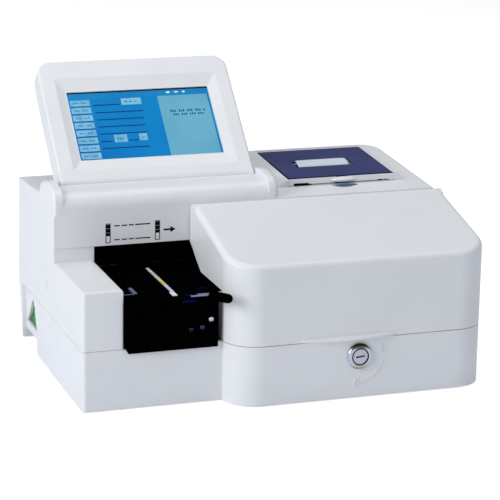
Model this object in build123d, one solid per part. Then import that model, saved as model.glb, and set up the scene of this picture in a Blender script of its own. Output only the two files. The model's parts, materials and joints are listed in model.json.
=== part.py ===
from build123d import *
import math
import os

# Urine analyzer: a desk-top reader for dipped test strips.
#
# The case is drawn in millimetres from the front left corner of the low block:
# +X to the right, +Y to the back, +Z up from the table. Each piece is moved at
# the end, so that the origin is under the middle of the whole footprint.

os.makedirs("parts", exist_ok=True)

# ---- case -------------------------------------------------------------------
WIDTH = 410.0                 # whole case, left to right
WALL = 3.0                    # moulded shell
FOOT_SHOW = 1.0               # rubber feet below the case
SEAM_Z = 61.0                 # joint between the lower and upper mouldings
SEAM_GAP = 0.4
LIP_RISE = 2.2                # inner rim that stands up behind the joint
LIP_THICK = 1.6
FRONT_Y = -30.2               # front of the right-hand half
BAY_X = 139.9                 # left wall of the right-hand half
FRONT_CORNER_R = 32.6
LEFT_CORNER_R = 4.0
REAR_CORNER_R = 25.0
REAR_SEAM_Y = 291.0           # the rear wall leans in above and below the joint
REAR_TOP_Y = 283.0
REAR_BOTTOM_Y = 277.0
FACE_Y = 108.8                # main face behind the strip stage
FACE_LOWER_Z = 134.5          # lower edge of the main face
RECESS_Y = 114.0              # wall set back below the main face
DECK_FRONT_Z = 172.0          # deck height at the main face
DECK_SLOPE = 3.8              # degrees, rising to the back
DECK_EDGE_R = 8.0
HUMP_EDGE_R = 3.0
HUMP_END_R = 7.0
SADDLE_X = 9.5                # the ridge is lower from here to the display's right end
SADDLE_BACK_Y = 177.0
SHOULDER_X = 205.0            # the deck is lower from the left side to here
SHOULDER_Z = 176.8            # its height at the main face
SHOULDER_FALL = 1.2           # degrees, falling to the back
SHOULDER_REAR_R = 30.0

# ---- left block and strip stage ---------------------------------------------
BLOCK_WIDTH = 40.8
BLOCK_TOP_Z = 120.0
BLOCK_EDGE_R = 4.0
BLOCK_WALL = 2.5
STAGE_Z = 108.0
STAGE_THICK = 3.0
STAGE_RIGHT_X = 134.5         # right edge of the part in front of the cover
STAGE_END_X = 226.0           # strips fall off here
STAGE_INNER_Y = 15.5          # front edge of the stage under the cover
PLATE_FRONT_Y = -3.4
PLATE_BACK_Y = -0.6
PLATE_LOW_Z = 57.0
TAB_R = 4.6                   # rounded tab at the corner of the stage
TAB_END = (134.6, -31.4, 113.1)
TAB_ROOT = (129.0, -3.0, 108.4)
STRIP_X = 91.6
STRIP_FRONT_Y = 7.0
STRIP_LENGTH = 101.0
STRIP_WIDTH = 5.0
STRIP_THICK = 0.6
PUSHER_TRAVEL = 100.0

# ---- flip cover and lock ----------------------------------------------------
COVER_SLOPE = 13.8            # degrees, falling to the front
COVER_REAR_Z = 175.0          # virtual top corner at the main face
COVER_EDGE_R = 6.0
COVER_REAR_GAP = 0.8
HINGE_R = 8.0                 # round rear end of the cover, about its hinge
HINGE_PIN_R = 2.5
VISOR_X = (210.0, 311.0)      # finger brow over the lock
VISOR_OUT = 6.0
VISOR_HEIGHT = 3.6
LOCK_X = 271.0
LOCK_Z = 43.5
LOCK_BEZEL_R = 13.0
LOCK_BEZEL_OUT = 4.0
LOCK_BODY_R = 9.5
LOCK_PLUG_R = 7.6

# ---- display ----------------------------------------------------------------
DISPLAY_CORNER = (18.5, 151.3, 188.4)   # lower left corner of the front face
DISPLAY_LEAN = 45.9           # degrees back from upright
DISPLAY_W = 205.1
DISPLAY_H = 152.0
DISPLAY_DEPTH = 25.0
DISPLAY_CORNER_R = 15.0
DISPLAY_SPLIT = 7.0           # depth of the front frame
DISPLAY_AXIS_V = 5.0          # hinge line, up the face from the corner
DISPLAY_TILT = (-15.0, 12.0)
DISPLAY_CHEEK = 12.4          # ridge to the right of the display
SCREEN_SIDES = (26.0, 26.6)   # frame at the left and right of the picture
SCREEN_V = (29.5, 113.8)
BEVEL_SIDES = (15.6, 15.1)
BEVEL_V = (15.0, 130.0)
BEVEL_DEEP = 2.5
DISPLAY_SOFT_R = 2.5
TILT_PIN_R = 3.0
TILT_GAP = 1.5                # air between the display's round foot and its trough

# ---- printer ----------------------------------------------------------------
LID_FROM_RIGHT = (153.0, 35.0)
LID_Y = (142.0, 251.0)
LID_RISE = 7.0                # lid and frame above the deck
NAVY_THICK = 1.2
PAPER_WIDTH = 57.0
ROLL_R = 20.0
ROLL_CORE_R = 6.5
SLOT_SIDES = (24.0, 30.0)     # lid at the left and right of the paper window
SLOT_Y = (183.0, 203.0)
PRINTER_WALL = 2.0

# ---- fits -------------------------------------------------------------------
RUN_FIT = 0.05                # radial, shaft in a bore
SEAT = 0.3                    # air between pieces that only rest near each other
PIECE_GAP = 0.5

# ---- derived ----------------------------------------------------------------
HUMP_END_X = DISPLAY_CORNER[0] + DISPLAY_W + DISPLAY_CHEEK
SCREEN_U = (SCREEN_SIDES[0], DISPLAY_W - SCREEN_SIDES[1])
BEVEL_U = (BEVEL_SIDES[0], DISPLAY_W - BEVEL_SIDES[1])
LID_X = (WIDTH - LID_FROM_RIGHT[0], WIDTH - LID_FROM_RIGHT[1])
SLOT_X = (LID_X[0] + SLOT_SIDES[0], LID_X[1] - SLOT_SIDES[1])
LOCK_FRONT_Y = FRONT_Y - LOCK_BEZEL_OUT
MID_X = WIDTH / 2
MID_Y = (LOCK_FRONT_Y + REAR_SEAM_Y) / 2


def block(x0, x1, y0, y1, z0, z1):
    """Return a box between two corners."""
    centre = Pos((x0 + x1) / 2, (y0 + y1) / 2, (z0 + z1) / 2)
    return centre * Box(x1 - x0, y1 - y0, z1 - z0)


def rod_x(x0, x1, y, z, r):
    """Return a cylinder along X."""
    return Pos((x0 + x1) / 2, y, z) * Rot(0, 90, 0) * Cylinder(r, x1 - x0)


def rod_y(y0, y1, x, z, r):
    """Return a cylinder along Y."""
    return Pos(x, (y0 + y1) / 2, z) * Rot(90, 0, 0) * Cylinder(r, y1 - y0)


def rod_z(z0, z1, x, y, r):
    """Return an upright cylinder."""
    return Pos(x, y, (z0 + z1) / 2) * Cylinder(r, z1 - z0)


def polygon(points):
    """Return a flat face through the given corners."""
    return make_face(Polyline(*points, close=True))


def prism_x(x0, x1, face):
    """Extrude a face drawn in (Y, Z) from x0 to x1."""
    side = Plane(origin=(x0, 0, 0), x_dir=(0, 1, 0), z_dir=(1, 0, 0))
    return extrude(side * face, amount=x1 - x0)


def prism_y(y0, y1, face):
    """Extrude a face drawn in (X, Z) from y0 to y1."""
    front = Plane(origin=(0, y1, 0), x_dir=(1, 0, 0), z_dir=(0, -1, 0))
    return extrude(front * face, amount=y1 - y0)


def prism_z(z0, z1, face):
    """Extrude a face drawn in (X, Y) from z0 to z1."""
    return extrude(Pos(0, 0, z0) * face, amount=z1 - z0)


def round_rect(x0, x1, y0, y1, radius):
    """Return a rectangle with round corners; radius may be a list of four."""
    corners = [(x0, y0), (x1, y0), (x1, y1), (x0, y1)]
    return make_face(FilletPolyline(*corners, radius=radius, close=True))


def pick_edges(part, test):
    """Return the edges whose centre passes the test."""
    return [edge for edge in part.edges() if test(edge.center())]


def union(*pieces):
    """Fuse the pieces into one part."""
    whole = pieces[0]
    for piece in pieces[1:]:
        whole = whole + piece
    return whole


def ribbon(points, thick):
    """Return a thin face that follows the points, mitred at each turn."""
    left, right = [], []
    last = len(points) - 1
    for i, (x, y) in enumerate(points):
        before = points[max(i - 1, 0)]
        after = points[min(i + 1, last)]
        ahead = Vector(after[0] - x, after[1] - y).normalized() if i < last else None
        behind = Vector(x - before[0], y - before[1]).normalized() if i > 0 else None
        along = ((ahead or behind) + (behind or ahead)).normalized()
        across = Vector(-along.Y, along.X)
        straight = ahead or behind
        reach = thick / 2 / abs(across.dot(Vector(-straight.Y, straight.X)))
        left.append((x + across.X * reach, y + across.Y * reach))
        right.append((x - across.X * reach, y - across.Y * reach))
    return polygon(left + right[::-1])


# ---- case surfaces ----------------------------------------------------------
def deck_z(y):
    """Height of the rear deck at y."""
    return DECK_FRONT_Z + (y - FACE_Y) * math.tan(math.radians(DECK_SLOPE))


def upper_rear_y(z):
    """Depth of the rear wall above the joint, or of its line below it."""
    share = (z - SEAM_Z) / (deck_z(REAR_TOP_Y) - SEAM_Z)
    return REAR_SEAM_Y + (REAR_TOP_Y - REAR_SEAM_Y) * share


def rear_y(z):
    """Depth of the leaning rear wall at z."""
    if z > SEAM_Z:
        return upper_rear_y(z)
    share = (z - FOOT_SHOW) / (SEAM_Z - FOOT_SHOW)
    return REAR_BOTTOM_Y + (REAR_SEAM_Y - REAR_BOTTOM_Y) * share


def cover_top_z(y):
    """Height of the flip cover's flat top at y."""
    return COVER_REAR_Z - (FACE_Y - y) * math.tan(math.radians(COVER_SLOPE))


DECK = Plane(
    origin=(0, FACE_Y, DECK_FRONT_Z),
    x_dir=(1, 0, 0),
    z_dir=(0, -math.sin(math.radians(DECK_SLOPE)), math.cos(math.radians(DECK_SLOPE))),
)
DISPLAY = Plane(
    origin=DISPLAY_CORNER,
    x_dir=(1, 0, 0),
    z_dir=(0, -math.cos(math.radians(DISPLAY_LEAN)), math.sin(math.radians(DISPLAY_LEAN))),
)
LID_V = (LID_Y[0] - FACE_Y, LID_Y[1] - FACE_Y)
SLOT_V = (SLOT_Y[0] - FACE_Y, SLOT_Y[1] - FACE_Y)
DISPLAY_FOOT_R = DISPLAY_DEPTH / 2
DISPLAY_AXIS = DISPLAY.from_local_coords((0, DISPLAY_AXIS_V, -DISPLAY_FOOT_R))
COVER_AXIS_Y = FACE_Y - COVER_REAR_GAP - HINGE_R
COVER_AXIS_Z = cover_top_z(COVER_AXIS_Y) - HINGE_R / math.cos(math.radians(COVER_SLOPE))


def case_plan(inset):
    """Case outline seen from above, moved in by inset and open at the back."""
    far = REAR_SEAM_Y + 20
    left_r = max(LEFT_CORNER_R - inset, 0.5)
    front_r = FRONT_CORNER_R - inset
    left = round_rect(inset, WIDTH - inset, inset, far, [left_r, 0, 0, 0])
    right = round_rect(
        BAY_X + inset, WIDTH - inset, FRONT_Y + inset, far, [front_r, front_r, 0, 0]
    )
    return left + right


def round_rear(body, inset):
    """Round the two leaning rear corners of a case body."""
    corners = pick_edges(
        body,
        lambda c: c.Y > REAR_BOTTOM_Y - 15 and not inset + 1 < c.X < WIDTH - inset - 1
        and abs(c.Y - rear_y(c.Z) + inset) < 1.0,
    )
    return fillet(corners, REAR_CORNER_R - inset)


def lower_body(inset, z0, z1):
    """Solid of the lower case between two heights, moved in by inset."""
    front = FRONT_Y - 5
    side = polygon([(front, z0), (rear_y(z0) - inset, z0), (rear_y(z1) - inset, z1), (front, z1)])
    body = prism_x(inset, WIDTH - inset, side) & prism_z(z0, z1, case_plan(inset))
    return round_rear(body, inset)


def deck_body(z0):
    """Solid of the rear housing up to the deck."""
    side = polygon([
        (FACE_Y, z0),
        (upper_rear_y(z0), z0),
        (REAR_TOP_Y, deck_z(REAR_TOP_Y)),
        (FACE_Y, deck_z(FACE_Y)),
    ])
    body = round_rear(prism_x(0, WIDTH, side), 0)
    rim = pick_edges(body, lambda c: c.Y > FACE_Y + 5 and c.Z > deck_z(c.Y) - 1.0)
    return fillet(rim, DECK_EDGE_R) - shoulder_cut(0)


def shoulder_cut(inset):
    """Space above the lower left part of the deck, moved in by inset."""
    corner_z = SHOULDER_Z - (REAR_TOP_Y - FACE_Y) * math.tan(math.radians(SHOULDER_FALL))
    low = make_face(FilletPolyline(
        (FACE_Y, SEAM_Z),
        (FACE_Y, SHOULDER_Z),
        (upper_rear_y(corner_z), corner_z),
        (upper_rear_y(SEAM_Z), SEAM_Z),
        radius=[0, 0, SHOULDER_REAR_R, 0],
        close=True,
    ))
    end = SHOULDER_X + inset
    space = block(-1, end, FACE_Y, REAR_SEAM_Y + 10, SEAM_Z, 2 * SHOULDER_Z)
    return Pos(0, -inset, -inset) * (space - prism_x(-2, end + 1, low))


def deck_hollow(z0):
    """Inside of the rear housing; its upper edges are cut off to keep the wall."""
    cut = 3.0
    top_y = REAR_TOP_Y - WALL
    side = polygon([
        (FACE_Y + WALL, z0),
        (upper_rear_y(z0) - WALL, z0),
        (top_y, deck_z(top_y) - WALL - cut),
        (top_y - cut, deck_z(top_y - cut) - WALL),
        (FACE_Y + WALL, deck_z(FACE_Y) - WALL),
    ])
    body = round_rear(prism_x(WALL, WIDTH - WALL, side), WALL)
    for x in (WALL, WIDTH - WALL):
        wedge = Pos(x, 0, -WALL) * Rot(0, 45, 0) * Box(math.sqrt(2) * cut, 4 * REAR_SEAM_Y, math.sqrt(2) * cut)
        body = body - (DECK.location * wedge)
    return body - shoulder_cut(WALL)


def hump_body():
    """Ridge across the left of the deck, that the display stands in."""
    low = FACE_LOWER_Z + 12
    profile = make_face(FilletPolyline(
        (FACE_Y, low),
        (FACE_Y, 191.5),
        (140.0, 196.4),
        (166.0, 191.5),
        (177.0, 171.5),
        (177.0, low),
        radius=[0, 15, 60, 20, 0, 0],
        close=True,
    ))
    body = prism_x(0, HUMP_END_X, profile)
    for x, radius in ((0, HUMP_EDGE_R), (HUMP_END_X, HUMP_END_R)):
        body = fillet(pick_edges(body, lambda c: abs(c.X - x) < 0.01 and c.Z > low + 1), radius)
    low_profile = make_face(FilletPolyline(
        (FACE_Y - 2, low),
        (FACE_Y, low),
        (FACE_Y, 186.5),
        (138.0, 191.3),
        (166.0, 185.0),
        (SADDLE_BACK_Y, 168.0),
        (SADDLE_BACK_Y, low),
        radius=[0, 0, 15, 60, 20, 0, 0],
        close=True,
    ))
    end = DISPLAY_CORNER[0] + DISPLAY_W + PIECE_GAP
    saddle = block(SADDLE_X, end, FACE_Y - 1, SADDLE_BACK_Y + 1, DECK_FRONT_Z, 210)
    knuckle = rod_x(SADDLE_X - 1, DISPLAY_CORNER[0], DISPLAY_AXIS.Y, DISPLAY_AXIS.Z, TILT_PIN_R + WALL)
    return body - (saddle - prism_x(SADDLE_X - 1, end + 1, low_profile)) + (knuckle & body)


HUMP_HOLLOW = [
    (111.8, 150), (111.8, 175.5), (115, 181.5), (121, 185.3), (133, 187.0), (144, 186.4), (144, 165), (130, 150)
]


# ---- lower case -------------------------------------------------------------
POCKET_DEEP = 4.5
POCKET = [(186, -5), (187, 26), (201, 57), (217, 59), (252, 59), (252, -5)]
POCKET_WINDOW = [(196, 20), (250, 20), (238, 31), (228, 45), (221, 50.5), (196, 50.5)]
HAND_X = 40.0                 # hand hold under the left rear edge
HAND_Y = (186.0, 252.0)
HAND_Z = 11.0
PANEL_X = (120.0, 300.0)      # socket panel, set into the rear wall
PANEL_Z = (12.0, 52.0)
PANEL_Y = 260.0
PANEL_THICK = 1.5
POST_TOP_Z = 64.0             # posts under the strip stage
STAGE_POSTS = [(50, 14), (126, 14), (50, 100), (126, 100), (216, 24), (216, 100)]
FRAME_POSTS = [(52, 124), (222, 124), (52, 160), (222, 160)]
FRAME_Z = 77.0                # underside of the transport frame
BOARD_Z = 12.0                # underside of the main board
BOARD_X = (62.0, 212.0)
BOARD_Y = (135.0, 245.0)
POWER_X = (WIDTH - 172.0, WIDTH - 38.0)
POWER_Y = (150.0, 235.0)
POWER_Z = (4.0, 44.0)
FOOT_R = 8.0
FOOT_SEAT = 1.2               # depth of each foot's pocket in the floor
FEET = [(30, 22), (172, 0), (382, 5), (60, 165), (45, 262), (370, 255)]
WELL_X = (230.0, 402.0)       # liner that holds the waste bin
WELL_Y = (-4.0, 100.0)


def board_posts():
    """Corners of the main board's four screws."""
    return [(x, y) for x in (BOARD_X[0] + 5, BOARD_X[1] - 5) for y in (BOARD_Y[0] + 5, BOARD_Y[1] - 5)]


def lower_case():
    """Bottom moulding: floor, skirt, inner rim, posts and pockets."""
    top = SEAM_Z - SEAM_GAP / 2
    floor = FOOT_SHOW + WALL
    outer = lower_body(0, FOOT_SHOW, top)
    rim = lower_body(WALL + SEAT, top - 6, top + LIP_RISE)
    rim_core = lower_body(WALL + SEAT + LIP_THICK, top - 7, top + LIP_RISE + 1)
    collar = lower_body(WALL - 0.5, top - 6, top)
    shell = outer - lower_body(WALL, floor, top + 5)
    rim = rim - block(BLOCK_WIDTH - WALL, BAY_X + WALL + SEAT, -1, 9, top, top + 5)
    rim = rim - block(-1, WIDTH + 1, FACE_Y - SEAT, RECESS_Y + WALL + SEAT, top, top + 5)
    shell = shell + ((rim + collar) - rim_core)
    pocket_wall = prism_x(0, POCKET_DEEP + WALL, offset(polygon(POCKET), WALL, kind=Kind.INTERSECTION))
    hand_wall = block(0, HAND_X + WALL, HAND_Y[0] - WALL, HAND_Y[1] + WALL, 0, HAND_Z + WALL)
    panel_wall = block(
        PANEL_X[0] - WALL, PANEL_X[1] + WALL, PANEL_Y - WALL, REAR_SEAM_Y, PANEL_Z[0] - WALL, PANEL_Z[1] + WALL
    )
    shell = shell + ((pocket_wall + hand_wall + panel_wall) & outer)
    shell = shell - prism_x(-1, POCKET_DEEP, polygon(POCKET))
    shell = shell - prism_x(-1, POCKET_DEEP + WALL + 1, polygon(POCKET_WINDOW))
    shell = shell - block(-1, HAND_X, *HAND_Y, -1, HAND_Z)
    shell = shell - block(*PANEL_X, PANEL_Y, REAR_SEAM_Y + 5, *PANEL_Z)
    inside = 4.0
    shell = shell - block(
        PANEL_X[0] + inside, PANEL_X[1] - inside, PANEL_Y - WALL - 1, PANEL_Y + 1,
        PANEL_Z[0] + inside, PANEL_Z[1] - inside,
    )
    for x, y in STAGE_POSTS:
        shell = shell + rod_z(floor, POST_TOP_Z, x, y, 4.5)
    for x, y in FRAME_POSTS:
        shell = shell + rod_z(floor, FRAME_Z, x, y, 4.5)
    for x, y in board_posts():
        shell = shell + rod_z(floor, BOARD_Z, x, y, 3.5)
    for x, y in FEET:
        shell = shell - rod_z(0, FOOT_SHOW + FOOT_SEAT, x, y, FOOT_R)
    shell = shell - rod_y(FRONT_Y - 1, FRONT_Y + WALL + 1, LOCK_X, LOCK_Z, LOCK_BODY_R + 0.1)
    return shell


def rubber_feet():
    """Round feet pressed into the floor."""
    return union(*[rod_z(0, FOOT_SHOW + FOOT_SEAT, x, y, FOOT_R) for x, y in FEET])


# ---- upper case -------------------------------------------------------------
PUSH_SLOT_X = (46.0, 210.0)   # way for the pusher through the inner wall
PUSH_SLOT_Z = (100.0, 113.4)
FRAME_PAD = 14.0              # sloped sides of the raised printer frame
LID_GAP = 0.3
LID_AXIS_V = LID_V[1] - LID_GAP - 3.4
LID_AXIS_W = 3.7
LID_END_R = 3.3
LID_PIN_R = 1.5
OPENING_V = (39.0, 130.0)     # hole in the deck under the printer lid
OPENING_X = (LID_X[0] + 5, LID_X[1] - 5)
SCOOP_X = LID_X[0] + 59.5      # finger hollow in front of the lid
SCOOP_R = 13.5
SCOOP_DEEP = 3.0
SCOOP_TILT = 12.5
SCOOP_WALL = 1.5
MARK_SLOTS = [(84.6, 88.8), (90.2, 94.4)]
VENTS_X = (60.0, 200.0)
VENT_WIDTH = 3.5
VENT_Z = (120.0, 150.0)


def tilt_envelope(gap):
    """Space in (Y, Z) that the display's foot sweeps, with gap around it."""
    radius = DISPLAY_FOOT_R + gap
    space = Pos(DISPLAY_AXIS.Y, DISPLAY_AXIS.Z) * Circle(radius)
    for tilt in (DISPLAY_TILT[0], 0.0, DISPLAY_TILT[1]):
        turn = 90.0 - DISPLAY_LEAN + tilt
        slab = Pos(40, 0) * Rectangle(80, 2 * radius)
        space = space + Pos(DISPLAY_AXIS.Y, DISPLAY_AXIS.Z) * Rot(0, 0, turn) * slab
    return space


def printer_frame():
    """Raised frame round the printer lid, with sloping left, right and back."""
    low_face = round_rect(LID_X[0] - FRAME_PAD, LID_X[1] + FRAME_PAD, LID_V[0], LID_V[1] + FRAME_PAD, 1)
    high_face = round_rect(LID_X[0] - 2, LID_X[1] + 2, LID_V[0], LID_V[1] + 3, 1)
    pad = loft([Pos(0, 0, -1) * low_face, Pos(0, 0, LID_RISE) * high_face])
    return DECK.location * Part(pad.wrapped)


def printer_openings():
    """Seat of the lid and the hole under it."""
    seat = block(*LID_X, LID_V[0] - 5, LID_V[1], 0, 20)
    hole = block(*OPENING_X, *OPENING_V, -30, 20)
    return DECK.location * (seat + hole)


def scoop(wall):
    """Tilted round hollow before the lid, in deck axes, larger by wall."""
    disc = Pos(0, 0, 6) * Cylinder(SCOOP_R + wall, 12)
    return Pos(SCOOP_X, LID_V[0], -SCOOP_DEEP - wall) * Rot(-SCOOP_TILT, 0, 0) * disc


def upper_case():
    """Main moulding: face, display ridge, deck and left wall."""
    bottom = SEAM_Z + SEAM_GAP / 2
    outer = deck_body(bottom) + hump_body() + printer_frame()
    inner = deck_hollow(bottom - 5)
    hump_hollow = prism_x(WALL, HUMP_END_X - HUMP_END_R, polygon(HUMP_HOLLOW))
    trough = prism_x(WALL, HUMP_END_X - WALL, tilt_envelope(TILT_GAP + 2.5)) & outer
    shell = outer - inner - hump_hollow
    shell = shell + trough
    shell = shell - prism_x(
        DISPLAY_CORNER[0] - PIECE_GAP, DISPLAY_CORNER[0] + DISPLAY_W + PIECE_GAP, tilt_envelope(TILT_GAP)
    )
    shell = shell - rod_x(WALL, DISPLAY_CORNER[0], DISPLAY_AXIS.Y, DISPLAY_AXIS.Z, TILT_PIN_R)
    right = DISPLAY_CORNER[0] + DISPLAY_W
    shell = shell - rod_x(right, HUMP_END_X - WALL, DISPLAY_AXIS.Y, DISPLAY_AXIS.Z, TILT_PIN_R)
    shell = shell + (block(0, BAY_X + WALL, FACE_Y, RECESS_Y + WALL, bottom, FACE_LOWER_Z + WALL) & outer)
    shell = shell - block(-1, BAY_X, FACE_Y - 1, RECESS_Y, bottom - 1, FACE_LOWER_Z)
    shell = shell - block(*PUSH_SLOT_X, FACE_Y - 1, RECESS_Y + WALL + 1, *PUSH_SLOT_Z)
    shell = shell - printer_openings()
    shell = shell - (DECK.location * rod_x(
        LID_X[0] - 4, LID_X[1] + 4, LID_AXIS_V, LID_AXIS_W, LID_PIN_R))
    cup = scoop(SCOOP_WALL) & block(0, WIDTH, 0, LID_V[0] + SCOOP_WALL, -20, -1)
    shell = shell + (DECK.location * cup)
    shell = shell - (DECK.location * (scoop(0) & block(0, WIDTH, 0, LID_V[0], -20, 20)))
    for low, high in MARK_SLOTS:
        shell = shell - block(-1, WALL + 1, 140.2, 141.8, low, high)
    for i in range(12):
        x = VENTS_X[0] + i * (VENTS_X[1] - VENTS_X[0]) / 11
        shell = shell - block(x, x + VENT_WIDTH, REAR_TOP_Y - 10, REAR_SEAM_Y + 2, *VENT_Z)
    return shell


def side_block_cover():
    """Low white cover at the left of the strip stage, with its riser."""
    bottom = SEAM_Z + SEAM_GAP / 2
    rear = RECESS_Y - SEAT
    front = round_rect(0, BLOCK_WIDTH, 0, rear, [LEFT_CORNER_R, 1.5, 0, 0])
    outer = prism_z(bottom, BLOCK_TOP_Z, front)
    outer = fillet(
        pick_edges(outer, lambda c: c.Z > BLOCK_TOP_Z - 0.01 and c.Y < rear - 1),
        min(BLOCK_EDGE_R, LEFT_CORNER_R) - 1.2,
    )
    hollow = block(
        BLOCK_WALL, BLOCK_WIDTH - BLOCK_WALL, BLOCK_WALL, rear - BLOCK_WALL,
        bottom - 1, BLOCK_TOP_Z - BLOCK_WALL,
    )
    riser = block(0, BLOCK_WIDTH, FACE_Y + 0.8, rear, BLOCK_TOP_Z - 4, FACE_LOWER_Z - SEAT)
    riser_back = block(-1, BLOCK_WIDTH - BLOCK_WALL, FACE_Y + 3, rear + 1, bottom - 1, FACE_LOWER_Z - 3)
    return outer - hollow + riser - (riser_back & block(BLOCK_WALL, 60, 0, 200, 0, 200))


# ---- strip stage ------------------------------------------------------------
def strip_stage():
    """Black table that the strips cross, with its side skirts."""
    low = STAGE_Z - STAGE_THICK
    left = BLOCK_WIDTH + SEAT
    rear = FACE_Y - SEAT
    top = block(left, STAGE_RIGHT_X, PLATE_BACK_Y + SEAT, rear, low, STAGE_Z)
    top = top + block(STAGE_RIGHT_X - 1, STAGE_END_X, STAGE_INNER_Y, rear, low, STAGE_Z)
    top = fillet(
        pick_edges(top, lambda c: c.Y < 0 and c.Z > STAGE_Z - 0.01 and c.X < STAGE_RIGHT_X), 1.5
    )
    skirts = block(left, left + 2.4, 4, rear, POST_TOP_Z + SEAT, low + 1)
    skirts = skirts + block(STAGE_RIGHT_X - 2.4, STAGE_RIGHT_X, 4, rear, POST_TOP_Z + SEAT, low + 1)
    skirts = skirts + block(STAGE_END_X - 2.4, STAGE_END_X, STAGE_INNER_Y, rear, POST_TOP_Z + SEAT, low + 1)
    legs = union(*[rod_z(POST_TOP_Z, low + 1, x, y, 3.5) for x, y in STAGE_POSTS])
    guide = block(left + 3, left + 20, 17, 19, STAGE_Z - 1, STAGE_Z + 1.6)
    pocket = block(*TILE_X, *TILE_Y, STAGE_Z - TILE_THICK, STAGE_Z + 1)
    return top + skirts + legs + guide - pocket


def capsule(start, end, radius):
    """Round-ended bar between two points."""
    a, b = Vector(*start), Vector(*end)
    along = Plane(origin=a, z_dir=(b - a))
    bar = along.location * Pos(0, 0, (b - a).length / 2) * Cylinder(radius, (b - a).length)
    return bar + Pos(*end) * Sphere(radius) + Pos(*start) * Sphere(radius)


def front_plate():
    """Black apron below the stage, with its pull tab."""
    left = BLOCK_WIDTH + PIECE_GAP
    outline = polygon([
        (left + 3.5, PLATE_LOW_Z),
        (STAGE_RIGHT_X, PLATE_LOW_Z),
        (STAGE_RIGHT_X, STAGE_Z),
        (left, STAGE_Z),
        (left, PLATE_LOW_Z + 6),
    ])
    plate = prism_y(PLATE_FRONT_Y, PLATE_BACK_Y, outline)
    plate = fillet(
        pick_edges(plate, lambda c: c.Z > STAGE_Z - 0.01 and c.Y < PLATE_FRONT_Y + 0.01), 2.0
    )
    tab = capsule(TAB_ROOT, TAB_END, TAB_R) & block(0, WIDTH, -60, PLATE_BACK_Y, 0, 200)
    plate = plate + tab
    for x, z in PLATE_SCREWS:
        plate = plate - rod_y(PLATE_FRONT_Y - 1, PLATE_BACK_Y + 1, x, z, 1.6)
    return plate


PLATE_SCREWS = [(127.1, 85.1), (118.1, 77.8), (107.0, 75.7)]
PLATE_SCREW_R = 2.6


def front_plate_screws():
    """Pan-head screws of the apron, driven into the stage's front rib."""
    screws = []
    for x, z in PLATE_SCREWS:
        head = rod_y(PLATE_FRONT_Y - 1.4, PLATE_FRONT_Y, x, z, PLATE_SCREW_R)
        head = fillet(pick_edges(head, lambda c: c.Y < PLATE_FRONT_Y - 1.3), 0.8)
        slot = block(x - 2, x + 2, PLATE_FRONT_Y - 2, PLATE_FRONT_Y - 0.8, z - 0.3, z + 0.3)
        shank = rod_y(PLATE_FRONT_Y, 6, x, z, 1.5)
        screws.append((head - slot) + shank)
    return union(*screws)


def stage_rib():
    """Black rib behind the apron, that takes its screws."""
    rib = block(BLOCK_WIDTH + 6, STAGE_RIGHT_X - 4, PLATE_BACK_Y + 0.01, 3.5, 66, STAGE_Z - STAGE_THICK - SEAT)
    for x, z in PLATE_SCREWS:
        rib = rib - rod_y(-5, 5, x, z, 1.55)
    return rib


def stage_back_wall():
    """Black strip between the stage and the main face."""
    return block(BLOCK_WIDTH + SEAT, BAY_X - SEAT, FACE_Y + 1.2, RECESS_Y, PUSH_SLOT_Z[1] + 0.6, FACE_LOWER_Z - SEAT)


def test_strip():
    """Dipped strip lying across the stage."""
    low = STAGE_Z + 0.02
    return block(
        STRIP_X, STRIP_X + STRIP_WIDTH, STRIP_FRONT_Y, STRIP_FRONT_Y + STRIP_LENGTH, low, low + STRIP_THICK
    )


def strip_pads():
    """Reagent pads on the strip."""
    pads = []
    low = STAGE_Z + 0.02 + STRIP_THICK
    for i in range(9):
        y = STRIP_FRONT_Y + 14 + i * 8.0
        pads.append(block(STRIP_X, STRIP_X + STRIP_WIDTH, y, y + 5, low, low + 0.5))
    return union(*pads)


# ---- strip transport --------------------------------------------------------
ROD_Y = 122.0
ROD_Z = (106.0, 122.0)
ROD_R = 3.0
PULLEY_R = 6.37
PULLEY_Z = 98.0
PULLEY_X = (62.0, 222.0)
BELT_Y = (129.0, 135.0)
BELT_THICK = 1.4
CARRIAGE_X = (79.0, 103.0)
PUSHER_X = (STRIP_X - 4.3, STRIP_X - SEAT)
FRAME_X = (43.0, 240.0)
MOTOR_SIZE = 35.0
MOTOR_Y = (139.5, 168.0)
AXLE_R = 2.5


def transport_frame():
    """Steel frame that carries the guide rods, the motor and the idler."""
    base = block(FRAME_X[0], FRAME_X[1], 118, 168, FRAME_Z, FRAME_Z + 2)
    ends = union(*[block(x, x + 2, 118, 139.5, FRAME_Z, 128) for x in (FRAME_X[0], FRAME_X[1] - 2)])
    brackets = union(*[
        block(x - 18, min(x + 18, FRAME_X[1]), BELT_Y[1] + 2.5, MOTOR_Y[0], FRAME_Z, 118) for x in PULLEY_X
    ])
    frame = base + ends + brackets
    for z in ROD_Z:
        frame = frame - rod_x(0, WIDTH, ROD_Y, z, ROD_R)
    frame = frame - rod_y(136, 141, PULLEY_X[1], PULLEY_Z, AXLE_R + 1)
    return frame - rod_y(136, 141, PULLEY_X[0], PULLEY_Z, AXLE_R)


def guide_rods():
    """Two ground rods for the carriage."""
    return union(*[rod_x(FRAME_X[0], FRAME_X[1], ROD_Y, z, ROD_R) for z in ROD_Z])


def carriage():
    """Slider on the rods, clamped to the belt's upper run."""
    top_run = PULLEY_Z + PULLEY_R + BELT_THICK
    body = block(*CARRIAGE_X, ROD_Y - 4.6, ROD_Y + 4.6, 100.5, 127.5)
    clamp = block(CARRIAGE_X[0] + 4, CARRIAGE_X[1] - 4, ROD_Y + 4, BELT_Y[1], top_run + 0.02, top_run + 5)
    body = body + clamp
    for z in ROD_Z:
        body = body - rod_x(0, WIDTH, ROD_Y, z, ROD_R + RUN_FIT)
    return body


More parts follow.
